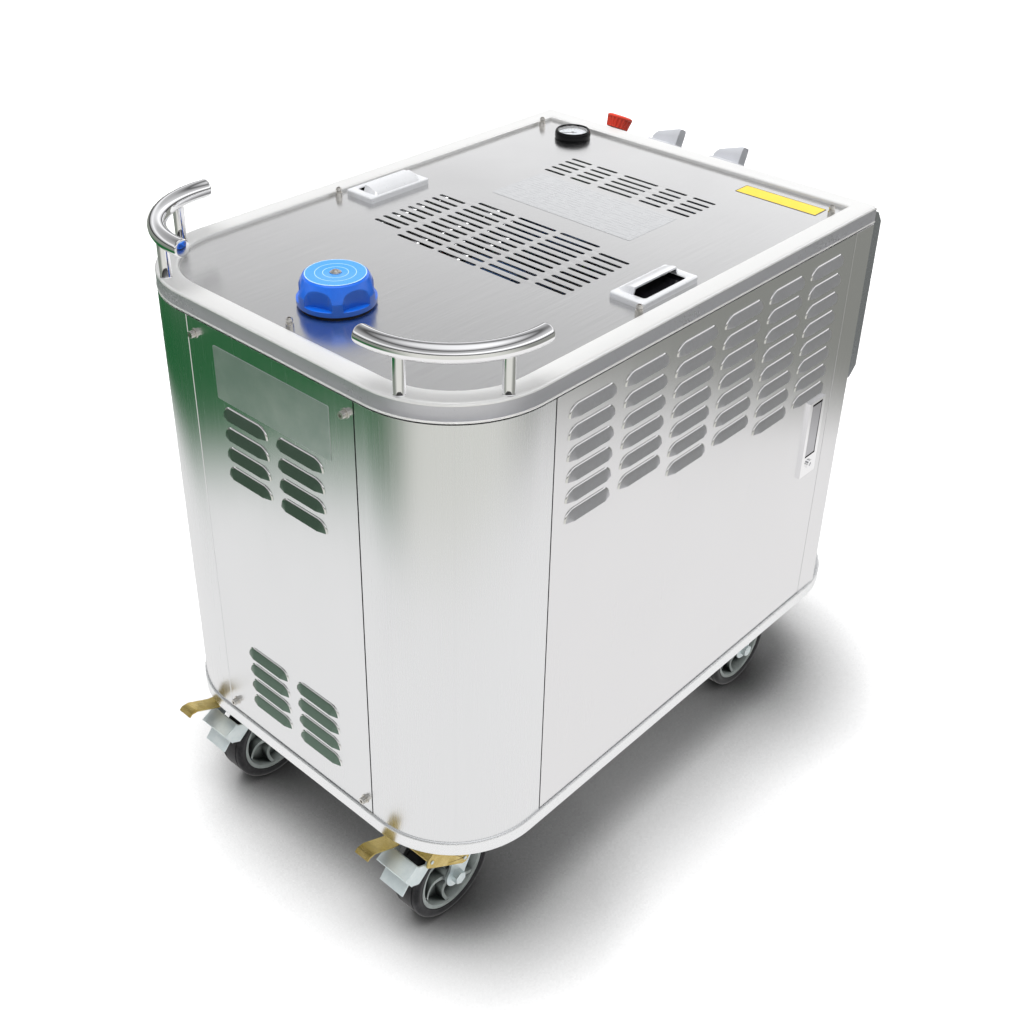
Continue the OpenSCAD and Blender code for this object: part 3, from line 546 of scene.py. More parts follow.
# ---------- mesh helpers
def finish_piece(name, bm, makers, body, nodes, bevel=0.0, segments=2, sharp=32, flat=False):
    """Turns a bmesh in row-frame metres into a piece that rides on a body and stands for CAD nodes."""
    bmesh.ops.remove_doubles(bm, verts=bm.verts, dist=1e-6)
    bmesh.ops.recalc_face_normals(bm, faces=bm.faces)
    mesh = bpy.data.meshes.new(name)
    bm.to_mesh(mesh)
    bm.free()
    obj = bpy.data.objects.new(name, mesh)
    bpy.context.scene.collection.objects.link(obj)
    for maker in makers:
        mesh.materials.append(mat(maker))
    mesh.polygons.foreach_set("use_smooth", [True] * len(mesh.polygons))
    mesh.set_sharp_from_angle(angle=math.radians(sharp))
    if bevel:
        add_bevel(obj, bevel, segments, sharp)
    if flat:
        even = obj.modifiers.new("normals", "WEIGHTED_NORMAL")
        even.mode = "FACE_AREA"
        even.weight = 100
        even.keep_sharp = True
    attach(obj, body)
    if nodes:
        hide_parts(*nodes)
    return obj


def add_bevel(obj, width, segments=2, angle=32):
    made = obj.modifiers.new("edges", "BEVEL")
    made.width = width * MM
    made.segments = segments
    made.limit_method = "ANGLE"
    made.angle_limit = math.radians(angle)
    made.use_clamp_overlap = True
    made.harden_normals = True


def dress(node, maker, bevel=0.6, segments=2):
    """A CAD node shown as it is, with softened edges and a material."""
    obj = frame["nodes"][node]
    obj.data.materials.clear()
    obj.data.materials.append(mat(maker))
    weld = obj.modifiers.new("weld", "WELD")
    weld.merge_threshold = 0.00002
    if bevel:
        add_bevel(obj, bevel, segments, 30)
        obj.modifiers["edges"].harden_normals = False
    tidy = obj.modifiers.new("normals", "WEIGHTED_NORMAL")
    tidy.keep_sharp = False
    obj.data.polygons.foreach_set("use_smooth", [True] * len(obj.data.polygons))
    return obj


def loft(bm, rings_, closed=True, loop=False, index=0):
    """Skin between rings of equal length; closed joins each ring's ends, loop joins last to first."""
    rows = [[bm.verts.new(p) for p in ring] for ring in rings_]
    count = len(rows[0])
    pairs = list(zip(rows, rows[1:])) + ([(rows[-1], rows[0])] if loop else [])
    for a, b in pairs:
        for i in range(count if closed else count - 1):
            j = (i + 1) % count
            quad = [a[i], a[j], b[j], b[i]]
            if len({v.co.to_tuple(7) for v in quad}) > 2:
                bm.faces.new(quad).material_index = index
    return rows


def cap_ring(bm, row, flip=False, index=0):
    face = bm.faces.new(list(reversed(row)) if flip else row)
    face.material_index = index
    return face


def lathe(bm, profile, origin, axis_matrix=Matrix.Identity(3), count=64, index=0, wave=None, loop=False):
    """Turns (radius, height) points about the axis at origin; wave changes the radius by angle and height."""
    rings_ = []
    for r, h in profile:
        ring = []
        for i in range(count):
            a = 2 * math.pi * i / count
            rr = wave(r, h, a) if wave else r
            ring.append(Vector(origin) + axis_matrix @ Vector((rr * math.cos(a), rr * math.sin(a), h)))
        rings_.append(ring)
    return loft(bm, rings_, closed=True, loop=loop, index=index)


def block(bm, lo, hi, index=0):
    lo, hi = Vector(lo), Vector(hi)
    v = [bm.verts.new((x, y, z)) for x in (lo.x, hi.x) for y in (lo.y, hi.y) for z in (lo.z, hi.z)]
    for f in ((0, 1, 3, 2), (4, 6, 7, 5), (0, 4, 5, 1), (2, 3, 7, 6), (0, 2, 6, 4), (1, 5, 7, 3)):
        bm.faces.new([v[i] for i in f]).material_index = index


def prism(bm, outline, place, index=0):
    """Solid between two copies of a 2D outline; place(x, y, side) gives the point on side 0 or 1."""
    a = [bm.verts.new(place(x, y, 0)) for x, y in outline]
    b = [bm.verts.new(place(x, y, 1)) for x, y in outline]
    for i in range(len(outline)):
        j = (i + 1) % len(outline)
        bm.faces.new([a[i], a[j], b[j], b[i]]).material_index = index
    bm.faces.new(list(reversed(a))).material_index = index
    bm.faces.new(b).material_index = index


def arc(cx, cy, r, a0, a1, n):
    turns = [math.radians(a0 + (a1 - a0) * i / n) for i in range(n + 1)]
    return [(cx + r * math.cos(a), cy + r * math.sin(a)) for a in turns]


def casing_ring(inset, z, n=28):
    """Outline of the casing at an inset: two rounded front corners, two square rear corners."""
    x, r = SIDE - CORNER, CORNER - inset
    pts = [(SIDE - inset, REAR - inset), (-SIDE + inset, REAR - inset)]
    pts += arc(-x, FRONT + CORNER, r, 180, 270, n)
    pts += arc(x, FRONT + CORNER, r, 270, 360, n)
    return [Vector((px, py, z)) for px, py in pts]


def tray_ring(inset, z, n=28):
    """Outline of the base tray at an inset: four rounded corners."""
    r0 = CORNER + (tray_hi.x - SIDE)
    x, y, r = tray_hi.x - r0, tray_hi.y - r0, r0 - inset
    cy = (tray_hi.y + tray_lo.y) / 2
    pts = arc(x, cy + y, r, 0, 90, n) + arc(-x, cy + y, r, 90, 180, n)
    pts += arc(-x, cy - y, r, 180, 270, n) + arc(x, cy - y, r, 270, 360, n)
    return [Vector((px, py, z)) for px, py in pts]


def sheet(bm, outline, holes, thickness, place, edge=0.0, index=0):
    """Flat sheet with holes, cut in its own plane and then put in place; its outer face is at height 0."""
    curve = bpy.data.curves.new("cut", "CURVE")
    curve.dimensions = "2D"
    curve.fill_mode = "BOTH"
    curve.extrude = thickness / 2 - edge
    curve.bevel_depth = edge
    curve.bevel_resolution = 1
    curve.offset = -edge
    for loop in [outline] + holes:
        spline = curve.splines.new("POLY")
        spline.points.add(len(loop) - 1)
        for point, (x, y) in zip(spline.points, loop):
            point.co = (x, y, 0, 1)
        spline.use_cyclic_u = True
    obj = bpy.data.objects.new("cut", curve)
    bpy.context.scene.collection.objects.link(obj)
    bpy.context.view_layer.update()
    made = bpy.data.meshes.new_from_object(obj.evaluated_get(bpy.context.evaluated_depsgraph_get()))
    made.transform(Matrix.Translation((0, 0, -thickness / 2)))
    made.transform(place)
    start = len(bm.faces)
    bm.from_mesh(made)
    bm.faces.ensure_lookup_table()
    for face in bm.faces[start:]:
        face.material_index = index
    bpy.data.objects.remove(obj)
    bpy.data.curves.remove(curve)
    bpy.data.meshes.remove(made)


def stadium(cx, cy, length, width, n=8):
    h, r = length / 2 - width / 2, width / 2
    return arc(cx + h, cy, r, -90, 90, n) + arc(cx - h, cy, r, 90, 270, n)


def round_rect(x0, y0, x1, y1, r, n=5):
    pts = arc(x1 - r, y1 - r, r, 0, 90, n) + arc(x0 + r, y1 - r, r, 90, 180, n)
    return pts + arc(x0 + r, y0 + r, r, 180, 270, n) + arc(x1 - r, y0 + r, r, 270, 360, n)


# Frames of the vertical faces: column vectors are the sheet's x, y and outward normal
FACE_FRONT = Matrix(((1, 0, 0, 0), (0, 0, -1, FRONT), (0, 1, 0, 0), (0, 0, 0, 1)))
FACE_RIGHT = Matrix(((0, 0, 1, SIDE), (1, 0, 0, 0), (0, 1, 0, 0), (0, 0, 0, 1)))
FACE_LEFT = Matrix(((0, 0, -1, -SIDE), (1, 0, 0, 0), (0, 1, 0, 0), (0, 0, 0, 1)))

# ---------- louvres
LOUVRE_L, LOUVRE_H, LOUVRE_OUT, LOUVRE_R, LOUVRE_PITCH = 0.094, 0.0185, 0.0062, 0.0165, 0.0316
RIM_BANDS = 4


def louvre_arc(cx, cz, level, n=9):
    """Half outline of a louvre at a level from 1 (its edge) to 0 (its mouth), from one end to the other."""
    straight = LOUVRE_L / 2 - LOUVRE_R
    pts = []
    for i in range(n + 1):
        a = math.pi / 2 * i / n
        pts.append((cx + straight + LOUVRE_R * level * math.cos(a), cz + LOUVRE_H * level * math.sin(a)))
    for i in range(n + 1):
        a = math.pi / 2 + math.pi / 2 * i / n
        pts.append((cx - straight + LOUVRE_R * level * math.cos(a), cz + LOUVRE_H * level * math.sin(a)))
    return pts


def louvre_depth(level):
    t = 1 - level
    return LOUVRE_OUT * (t + 0.30 * (1 - math.exp(-t / 0.05))) / 1.30


def louvre_hood(bm, cx, cz, place, index):
    """Pressed hood with rounded ends, its mouth downwards, doubled for the sheet's thickness."""
    levels = [1.0, 0.985, 0.96, 0.93, 0.89, 0.84, 0.76, 0.62, 0.44, 0.24, 0.02]
    thick = 0.0013
    outer = [[place @ Vector((x, z, louvre_depth(v))) for x, z in louvre_arc(cx, cz, v)] for v in levels]
    inner = [
        [place @ Vector((x, z, louvre_depth(v) - thick)) for x, z in louvre_arc(cx, cz, v)]
        for v in reversed(levels)
    ]
    first = len(bm.faces)
    rows = loft(bm, outer + inner, closed=False, index=index)
    bm.faces.ensure_lookup_table()
    # Painted highlight: the outer bands of each hood take the brighter edge material.
    for face in bm.faces[first:first + RIM_BANDS * (len(outer[0]) - 1)]:
        face.material_index = index + 1
    for k in (0, -1):
        column = [row[k] for row in rows]
        half = len(levels)
        for i in range(half - 1):
            quad = [column[i], column[i + 1], column[-2 - i], column[-1 - i]]
            if len({v.co.to_tuple(6) for v in quad}) > 2:
                bm.faces.new(quad).material_index = index


def front_louvres():
    for x in (-0.0557, 0.0557):
        for i in range(4):
            yield x, TOP - 0.160 - i * LOUVRE_PITCH
            yield x, TOP - 0.674 + i * LOUVRE_PITCH


def side_louvres():
    for column in range(6):
        for row in range(6 + column // 2):
            yield FRONT + 0.246 + column * 0.1114, TOP - 0.068 - row * LOUVRE_PITCH


def louvred(bm, outline, louvres, holes, place):
    louvres = list(louvres)
    cuts = [louvre_arc(x, z, 1.0) for x, z in louvres]
    sheet(bm, outline, cuts + holes, SHEET, place)
    for x, z in louvres:
        louvre_hood(bm, x, z, place, 1)


# ---------- casing
def make_front_panel():
    lo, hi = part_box("front_panel")
    bm = bmesh.new()
    outline = [(lo.x, lo.z), (hi.x, lo.z), (hi.x, hi.z), (lo.x, hi.z)]
    louvred(bm, outline, front_louvres(), [], FACE_FRONT)
    for x in (lo.x, hi.x - SHEET):
        block(bm, (x, FRONT + BEHIND, lo.z), (x + SHEET, FRONT + FOLD, hi.z))
    block(bm, (lo.x, FRONT + BEHIND, lo.z), (hi.x, FRONT + FOLD, lo.z + SHEET))
    # The front hoods take the darker, green copy of the steel: painted shade and painted green reflection.
    makers = [steel_front, louvre_painted_shade_and_reflection, louvre_painted_highlight_rim]
    finish_piece("front_sheet", bm, makers, "casing", ["front_panel"], flat=True)


def side_sheet(name, node, place, body, holes, side):
    y0, y1, z0, z1 = door_lo.y, door_hi.y, door_lo.z, door_hi.z
    bm = bmesh.new()
    louvred(bm, [(y0, z0), (y1, z0), (y1, z1), (y0, z1)], side_louvres(), holes, place)
    face, back = side * (SIDE - BEHIND), side * (SIDE - 0.018)
    xs = sorted((face, back))
    for y in (y0, y1 - SHEET):
        block(bm, (xs[0], y, z0), (xs[1], y + SHEET, z1))
    for z in (z0, z1 - SHEET):
        block(bm, (xs[0], y0, z), (xs[1], y1, z + SHEET))
    finish_piece(name, bm, [steel_side, louvre_face, louvre_painted_highlight_rim], body, [node], flat=True)


def make_sides():
    lo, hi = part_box("latch_case")
    y0, y1, z0, z1 = lo.y + 0.003, hi.y - 0.003, lo.z + 0.003, hi.z - 0.003
    latch_hole = [(y0, z0), (y1, z0), (y1, z1), (y0, z1)]
    side_sheet("door_sheet", "right_door", FACE_RIGHT, "right_door", [latch_hole], 1)
    side_sheet("left_sheet", "left_panel", FACE_LEFT, "casing", [], -1)


def make_corner_panels():
    lo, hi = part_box("corner_panels")
    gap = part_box("front_panel")[1].x + 0.0015
    bm = bmesh.new()
    for side in (1, -1):
        outer = [(gap, FRONT + FOLD), (gap, FRONT + 0.0008), (gap + 0.0008, FRONT)]
        outer += arc(SIDE - CORNER, FRONT + CORNER, CORNER, 270, 360, 40)
        outer += [(SIDE, hi.y - 0.0006), (SIDE - 0.0006, hi.y), (SIDE - FOLD, hi.y)]
        inner = [(SIDE - FOLD, hi.y - SHEET), (SIDE - SHEET, hi.y - SHEET)]
        inner += arc(SIDE - CORNER, FRONT + CORNER, CORNER - SHEET, 360, 270, 40)
        inner += [(gap + SHEET, FRONT + SHEET), (gap + SHEET, FRONT + FOLD)]
        rings_ = [[Vector((side * x, y, z)) for x, y in outer + inner] for z in (lo.z, hi.z)]
        rows = loft(bm, rings_)
        n, m = len(outer), len(inner)
        for row in rows:
            for i in range(min(n, m) - 1):
                a, b = row[i * (n - 1) // (min(n, m) - 1)], row[(i + 1) * (n - 1) // (min(n, m) - 1)]
                c, d = row[n + m - 1 - (i + 1)], row[n + m - 1 - i]
                if len({a, b, c, d}) == 4:
                    bm.faces.new([a, b, c, d])
    finish_piece("corner_sheets", bm, [steel_corner], "casing", ["corner_panels"])


def make_rear():
    lo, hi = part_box("rear_corners")
    inner_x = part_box("rear_panel")[1].x + 0.0015
    bm = bmesh.new()
    for side in (1, -1):
        outline = [
            (SIDE - 0.016, lo.y), (SIDE, lo.y), (SIDE, REAR), (inner_x, REAR),
            (inner_x, REAR - SHEET), (SIDE - SHEET, REAR - SHEET), (SIDE - SHEET, lo.y + SHEET),
            (SIDE - 0.016, lo.y + SHEET),
        ]
        prism(bm, outline, lambda x, y, k, s=side: Vector((s * x, y, hi.z if k else lo.z)))
    finish_piece("rear_strips", bm, [steel_side], "casing", ["rear_corners"], bevel=0.6)
    dress("rear_panel", steel_side, 0.3)
    dress("console_shell", steel_console, 1.2, 3)


def make_rim():
    bm = bmesh.new()
    profile = [
        (2.4, -28.0), (1.2, -27.9), (-0.2, -27.4), (-0.6, -26.2), (-0.2, -25.0), (0.2, -24.4), (0.2, -4.6),
        (0.5, -3.0), (1.2, -1.7), (2.1, -0.9), (3.2, -0.3), (4.6, 0), (28.5, 0), (30.2, -0.2), (31.4, -0.9),
        (32, -2.2), (32, -8), (44, -8), (44, -10), (30, -10), (30, -2.4), (3.4, -2.4),
        (2.2, -4.6), (2.2, -26.0),
    ]
    rings_ = []
    for inset, z in profile:
        ring = casing_ring(inset * MM, TOP + z * MM)
        if inset < 29 and z > -1.8:
            for point in ring[:2]:
                point.y = REAR - max(0.0, 5.0 - inset) * MM if inset < 20 else point.y
        rings_.append(ring)
    loft(bm, rings_, closed=True, loop=True)
    # Painted reflection: the outer band of the rim takes the darker, bluer copy of the rim steel.
    for face in bm.faces:
        face.normal_update()
        middle = face.calc_center_median()
        if abs(face.normal.z) < 0.5 and middle.z < TOP - 0.006 and middle.z > TOP - 0.0245:
            face.material_index = 1
    finish_piece("rim_band", bm, [steel_rim, steel_rim_painted_side], "casing", ["top_rim"], sharp=50)


def make_tray():
    z1 = tray_hi.z
    h = tray_hi.z - tray_lo.z
    bm = bmesh.new()
    profile = [
        (3.0, -h), (1.5, -h), (0.4, -h + 0.0006), (0, -h + 0.002), (0, -h / 2), (0, -0.0034), (0.4, -0.0016),
        (1.4, -0.0005), (3.0, 0.0),
    ]
    rows = loft(bm, [tray_ring(i * MM, z1 + z) for i, z in profile], closed=True)
    cap_ring(bm, rows[-1])
    under = loft(bm, [tray_ring(0.003, z1 - h), tray_ring(0.003, z1 - 0.003)], closed=True)
    cap_ring(bm, under[-1], True)
    for node in ("front_tyre_right", "rear_tyre_right"):
        lo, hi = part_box(node)
        y = (lo.y + hi.y) / 2 + 0.040
        for dy in (-0.038, 0.038):
            block(bm, (-0.300, y + dy - 0.014, z1 - h), (0.300, y + dy + 0.014, z1 - 0.003))
    finish_piece("tray_shell", bm, [steel_tray], "casing", ["base_tray"], sharp=40)


def cover_slots():
    pitch = 0.0172
    for c in range(-2, 3):
        for i in range(-5, 6):
            if abs(c) < 2 or abs(i) < 5:
                x = c * 0.0801 + (0.003 * (2 - abs(c)) * (1 if c > 0 else -1) if c else 0.0)
                yield x, FRONT + 0.432 + i * pitch, 0.054 if abs(c) == 2 else 0.074
        for i in range(-2, 3):
            x = c * 0.054 + (0.016 * (1 if c > 0 else -1) if c else 0.0)
            yield x, FRONT + 0.7375 + i * pitch, 0.068 if c == 0 else 0.042


def make_cover():
    cover_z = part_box("top_cover")[1].z
    bm = bmesh.new()
    outline = [(p.x, p.y) for p in casing_ring(0.0328, 0)]
    holes = [stadium(x, y, length, 0.0062) for x, y, length in cover_slots()]
    cap_lo, cap_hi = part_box("water_cap")
    cy = (cap_lo.y + cap_hi.y) / 2
    holes.append(arc((cap_lo.x + cap_hi.x) / 2, cy, 0.041, 0, 350, 35))
    sheet(bm, outline, holes, SHEET, Matrix.Translation((0, 0, cover_z)), edge=0.0003)
    finish_piece("cover_sheet", bm, [steel_cover], "casing", ["top_cover"], sharp=30,
                 flat=True)


# ---------- rails
def make_rails():
    bm = bmesh.new()
    tube, post, r = 0.0127, 0.008, CORNER - 0.010
    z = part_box("corner_rails")[1].z - tube
    for side in (1, -1):
        cx, cy = SIDE - CORNER, FRONT + CORNER
        rings_ = []
        n = 56
        a0, a1 = -95.0, 5.0
        stops = [(0.0, 0.82), (0.0004, 0.93), (0.0013, 0.99), (0.0028, 1.0)]
        length = r * math.radians(a1 - a0)
        marks = [(d, k) for d, k in stops] + [(length * (i + 1) / (n + 1), 1.0) for i in range(n)]
        marks += [(length - d, k) for d, k in reversed(stops)]
        for d, k in marks:
            a = math.radians(a0) + d / r
            ring = []
            for j in range(28):
                b = 2 * math.pi * j / 28
                rr = r + tube * k * math.cos(b)
                x, y = side * (cx + rr * math.cos(a)), cy + rr * math.sin(a)
                ring.append(Vector((x, y, z + tube * k * math.sin(b))))
            rings_.append(ring)
        rows = loft(bm, rings_)
        cap_ring(bm, rows[0])
        cap_ring(bm, rows[-1], True)
        for a in (-26.5, 26.5):
            t = math.radians(a - 45)
            at = (side * (cx + r * math.cos(t)), cy + r * math.sin(t), TOP)
            drop = z - TOP - 0.0108
            profile = [(post + 0.0006, 0.0), (post, 0.0010), (post, drop)]
            profile += [(post + 0.0010, drop + 0.0008), (post + 0.0008, drop + 0.0045)]
            profile.append((post - 0.001, drop + 0.0085))
            lathe(bm, profile, at, count=28)
    finish_piece("rail_tubes", bm, [chrome], "casing", ["corner_rails"], sharp=40)


# ---------- filler cap
def make_cap():
    lo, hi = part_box("water_cap")
    cx, cy = (lo.x + hi.x) / 2, (lo.y + hi.y) / 2
    R, H = (hi.x - lo.x) / 2, hi.z - lo.z

    def smooth(t):
        t = max(0.0, min(1.0, t))
        return t * t * (3 - 2 * t)

    def wave(r, h, a):
        """Six finger pockets: round cuts above a ledge, which run out in an arch on the shoulder."""
        turn = ((math.degrees(a) + 40) % 60 - 30) / 21.5
        if r < 0.030 or abs(turn) >= 1:
            return r
        depth = (0.0098 - 0.0040 * h / H) * (1 - turn * turn) ** 0.42
        cut = R - depth
        return r - max(0.0, r - cut) * smooth((h - H * 0.19) / (H * 0.02))

    bm = bmesh.new()
    profile = [(R - 0.010, 0.0), (R - 0.0014, 0.0), (R - 0.0004, 0.0005), (R, 0.0016)]
    for i in range(1, 30):
        profile.append((R, H * (0.04 + 0.42 * i / 30)))
    profile += [(R - 0.0001, H * 0.475), (R - 0.0006, H * 0.50)]
    for i in range(1, 25):
        u = i / 24
        profile.append((R - 0.0006 - 0.0090 * u ** 1.12, H * (0.50 + 0.455 * u)))
    profile += [(R - 0.0104, H * 0.975), (R - 0.0116, H * 0.992), (R - 0.0135, H), (0.0005, H)]
    rows = lathe(bm, profile, (cx, cy, lo.z), count=288, wave=wave)
    cap_ring(bm, rows[-1])
    inner = [(R - 0.010, 0.0), (0.0435, 0.0), (0.0415, 0.002), (0.0415, H * 0.76), (0.001, H * 0.76)]
    rows = lathe(bm, inner, (cx, cy, lo.z), count=240)
    cap_ring(bm, rows[-1], True)
    finish_piece("cap_body", bm, [cap_blue], "water_cap", ["water_cap"], sharp=38)

    dlo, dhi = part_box("cap_disc")
    bm = bmesh.new()
    r = (dhi.x - dlo.x) / 2
    profile = [(r, 0), (r, 0.0005), (r - 0.0004, 0.0008), (0.009, 0.0008), (0.008, 0.0006)]
    lathe(bm, profile, (cx, cy, dlo.z), count=96)
    finish_piece("cap_label_disc", bm, [cap_label], "water_cap", ["cap_disc"])
    bm = bmesh.new()
    profile = [(0.0078, 0.0004), (0.0078, 0.0016), (0.0070, 0.0020), (0.0056, 0.0020)]
    turns = [t * math.pi / 16 for t in range(1, 8)]
    profile += [(0.0056 * math.cos(a), 0.0020 + 0.0030 * math.sin(a)) for a in turns]
    rows = lathe(bm, profile, (cx, cy, dlo.z), count=40)
    cap_ring(bm, rows[-1])
    finish_piece("cap_centre_screw", bm, [screw_steel], "water_cap", ["cap_disc"])
    dress("cap_seal", seal_rubber, 0.6)


# ---------- gauge
def make_gauge():
    lo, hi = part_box("gauge_case")
    cx, cy = (lo.x + hi.x) / 2, (lo.y + hi.y) / 2
    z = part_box("top_cover")[1].z
    H = hi.z - z
    R = (hi.x - lo.x) / 2
    bm = bmesh.new()
    profile = [
        (R - 0.0020, 0.0), (R - 0.0016, 0.0016), (R, 0.0026), (R, H * 0.55), (R - 0.0006, H * 0.80),
        (R - 0.0016, H * 0.94), (R - 0.0028, H), (R - 0.0040, H * 0.97), (R - 0.0052, H * 0.90),
        (R - 0.0062, H * 0.72), (R - 0.0062, 0.0042),
    ]
    lathe(bm, profile, (cx, cy, z), count=72)
    stem = [(0.0068, -0.040), (0.0068, 0.0), (0.0280, 0.0005), (0.0280, 0.0040), (0.002, 0.0040)]
    rows = lathe(bm, stem, (cx, cy, z), count=40)
    cap_ring(bm, rows[0], True)
    finish_piece("gauge_bezel", bm, [gloss_black], "casing", ["gauge_case"], sharp=40)
    dress("gauge_dial", dial_face, 0.2)
    dress("gauge_needle", gloss_black, 0.1)
    dress("gauge_glass", clear_glass, 0.4)


# ---------- cup handles
def make_handles():
    lo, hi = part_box("cup_handles")
    z = lo.z
    plate_w, plate_l, plate_h, top = 0.058, hi.y - lo.y, 0.009, hi.z - lo.z
    cy = (lo.y + hi.y) / 2
    bm = bmesh.new()
    for side in (1, -1):
        cx = side * (hi.x - plate_w / 2)

        def put(x, y, h, s=side, c=cx):
            return Vector((c + s * x, cy + y, z + h))

        # Rounded plate with a pocket: outer wall, top band, pocket wall and floor
        def ring(inset, h, rad=0.004):
            w, l = plate_w / 2 - inset, plate_l / 2 - inset
            return [put(x, y, h) for x, y in round_rect(-w, -l, w, l, max(rad - inset, 0.0008), 4)]

        def pocket(grow, h):
            pts = round_rect(-0.023 - grow, -0.0465 - grow, 0.019 + grow, 0.0465 + grow, 0.004 + grow, 4)
            return [put(x, y, h) for x, y in pts]

        loft(bm, [
            ring(0.0, 0.0), ring(0.0, plate_h - 0.0022), ring(0.0005, plate_h - 0.0009),
            ring(0.0016, plate_h - 0.0002), ring(0.0026, plate_h), pocket(0.0022, plate_h),
            pocket(0.0008, plate_h - 0.0007), pocket(0.0, plate_h - 0.0022),
        ])
        loft(bm, [pocket(0.0, plate_h - 0.0022), pocket(0.0, 0.0030)], index=1)
        floor = [put(x, y, 0.0030) for x, y in round_rect(-0.023, -0.0465, 0.019, 0.0465, 0.004, 4)]
        bm.faces.new([bm.verts.new(p) for p in floor]).material_index = 1
        # Hood: a quarter shell over the inner half of the pocket
        span = 0.0505
        rows = []
        foot = plate_h - 0.002
        for t in range(13):
            x = -0.0262 + 0.0282 * t / 12
            rise = (top - foot) * math.sin(math.pi / 2 * min(1.0, (t / 12) ** 0.75))
            row = []
            for k in range(25):
                u = -1 + 2 * k / 24
                drop = max(0.0, abs(u) - 0.90) / 0.10
                row.append((x, u * span, foot + rise * math.sqrt(max(0.0, 1 - drop * drop))))
            rows.append(row)
        outer = [[put(x, y, h) for x, y, h in row] for row in rows]
        inner = [[put(x, y * 0.965, max(h - 0.0028, 0.0045)) for x, y, h in row] for row in reversed(rows)]
        loft(bm, outer + inner, closed=False)
    finish_piece("handle_cups", bm, [cup_silver, gloss_black], "casing", ["cup_handles"],
                 sharp=45)


# ---------- screws and plates
def make_plates():
    cover_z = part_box("top_cover")[1].z
    bm = bmesh.new()
    sheet(bm, round_rect(-0.111, TOP - 0.135, 0.119, TOP - 0.055, 0.002), [], 0.0008,
          FACE_FRONT @ Matrix.Translation((0, 0, 0.0008)), edge=0.0002)
    finish_piece("name_plate", bm, [name_film], "casing", ["label_plates"], flat=True)
    bm = bmesh.new()
    sheet(bm, round_rect(-0.137, FRONT + 0.566, 0.137, FRONT + 0.684, 0.003), [], 0.0004,
          Matrix.Translation((0, 0, cover_z + 0.0004)), edge=0.0001)
    finish_piece("info_plate", bm, [info_film], "casing", ["label_plates"], flat=True)
    bm = bmesh.new()
    sheet(bm, round_rect(STRIP_X[0], STRIP_Y[0], STRIP_X[1], STRIP_Y[1], 0.002), [], 0.0004,
          Matrix.Translation((0, 0, cover_z + 0.0004)), edge=0.0001)
    finish_piece("yellow_strip", bm, [strip_yellow], "casing", ["label_plates"], flat=True)
    dress("cap_screws", screw_steel, 0.5)


# ---------- console controls
def slope_frame(joint):
    """Place and axes of a control on the console's slope; the third axis is the outward normal."""
    j = next(x for x in frame["joints"] if x["name"] == joint)
    n = -Vector(j["axis"]).normalized()
    x = Vector((1, 0, 0))
    return Vector(j["pos_m"]), Matrix((x, n.cross(x), n)).transposed()


def make_controls():
    for side in ("left", "right"):
        at, axes = slope_frame(f"selector_knob_{side}_turn")
        bm = bmesh.new()
        r = 0.0325
        profile = [(0.006, -0.018), (0.006, 0.0009), (r - 0.001, 0.0010), (r, 0.0020), (r, 0.0058)]
        profile += [(r - 0.0008, 0.0072), (r - 0.0022, 0.0080), (0.020, 0.0080), (0.0005, 0.0080)]
        rows = lathe(bm, profile, at, axes, 72)
        cap_ring(bm, rows[0], True)
        cap_ring(bm, rows[-1])
        # Wedge grip: low and narrow towards -X, tall and wide towards +X
        rings_ = []
        for t in range(15):
            u = t / 14
            x = -0.0275 + 0.0550 * u
            half = 0.0048 + 0.0062 * u
            high = 0.0070 + 0.0075 * min(1.0, u * 9) + 0.0180 * u
            if u > 0.93:
                high -= 0.0015 * (u - 0.93) / 0.07
            ring = [(half, 0.0), (half * 0.98, high * 0.5), (half * 0.90, high * 0.88), (half * 0.72, high)]
            ring += [(-y, h) for y, h in reversed(ring)]
            rings_.append([at + axes @ Vector((x, y, 0.0075 + h * 0.93)) for y, h in ring])
        rows = loft(bm, rings_, closed=True)
        cap_ring(bm, rows[0])
        cap_ring(bm, rows[-1], True)
        finish_piece(f"knob_{side}", bm, [knob_grey], f"selector_knob_{side}", [f"selector_knob_{side}"],
                     bevel=0.7, sharp=40)
    at, axes = slope_frame("estop_twist")
    bm = bmesh.new()
    R = 0.0230

    def ribs(r, h, a):
        if not 0.0095 < h < 0.0235 or r < 0.015:
            return r
        return r - 0.0019 * (0.5 + 0.5 * math.cos(18 * a)) ** 2

    profile = [(0.0052, 0.0210), (0.0052, 0.0072), (0.0180, 0.0072), (0.0194, 0.0077)]
    profile += [(0.0197 + 0.0028 * i / 14, 0.0084 + 0.0160 * i / 14) for i in range(15)]
    profile += [(0.0227, 0.0252), (R, 0.0266), (R - 0.0006, 0.0281), (R - 0.0020, 0.0292)]
    profile += [(R - 0.0044, 0.0299), (0.012, 0.0301), (0.0005, 0.0301)]
    rows = lathe(bm, profile, at, axes, 216, wave=ribs)
    cap_ring(bm, rows[-1])
    finish_piece("stop_head", bm, [stop_red], "estop_head", ["estop_head"], sharp=50)
    dress("estop_collar", stop_teal, 0.6)
    dress("estop_stem", knob_grey, 0.4)
    dress("power_switch", gloss_black, 1.0, 3)


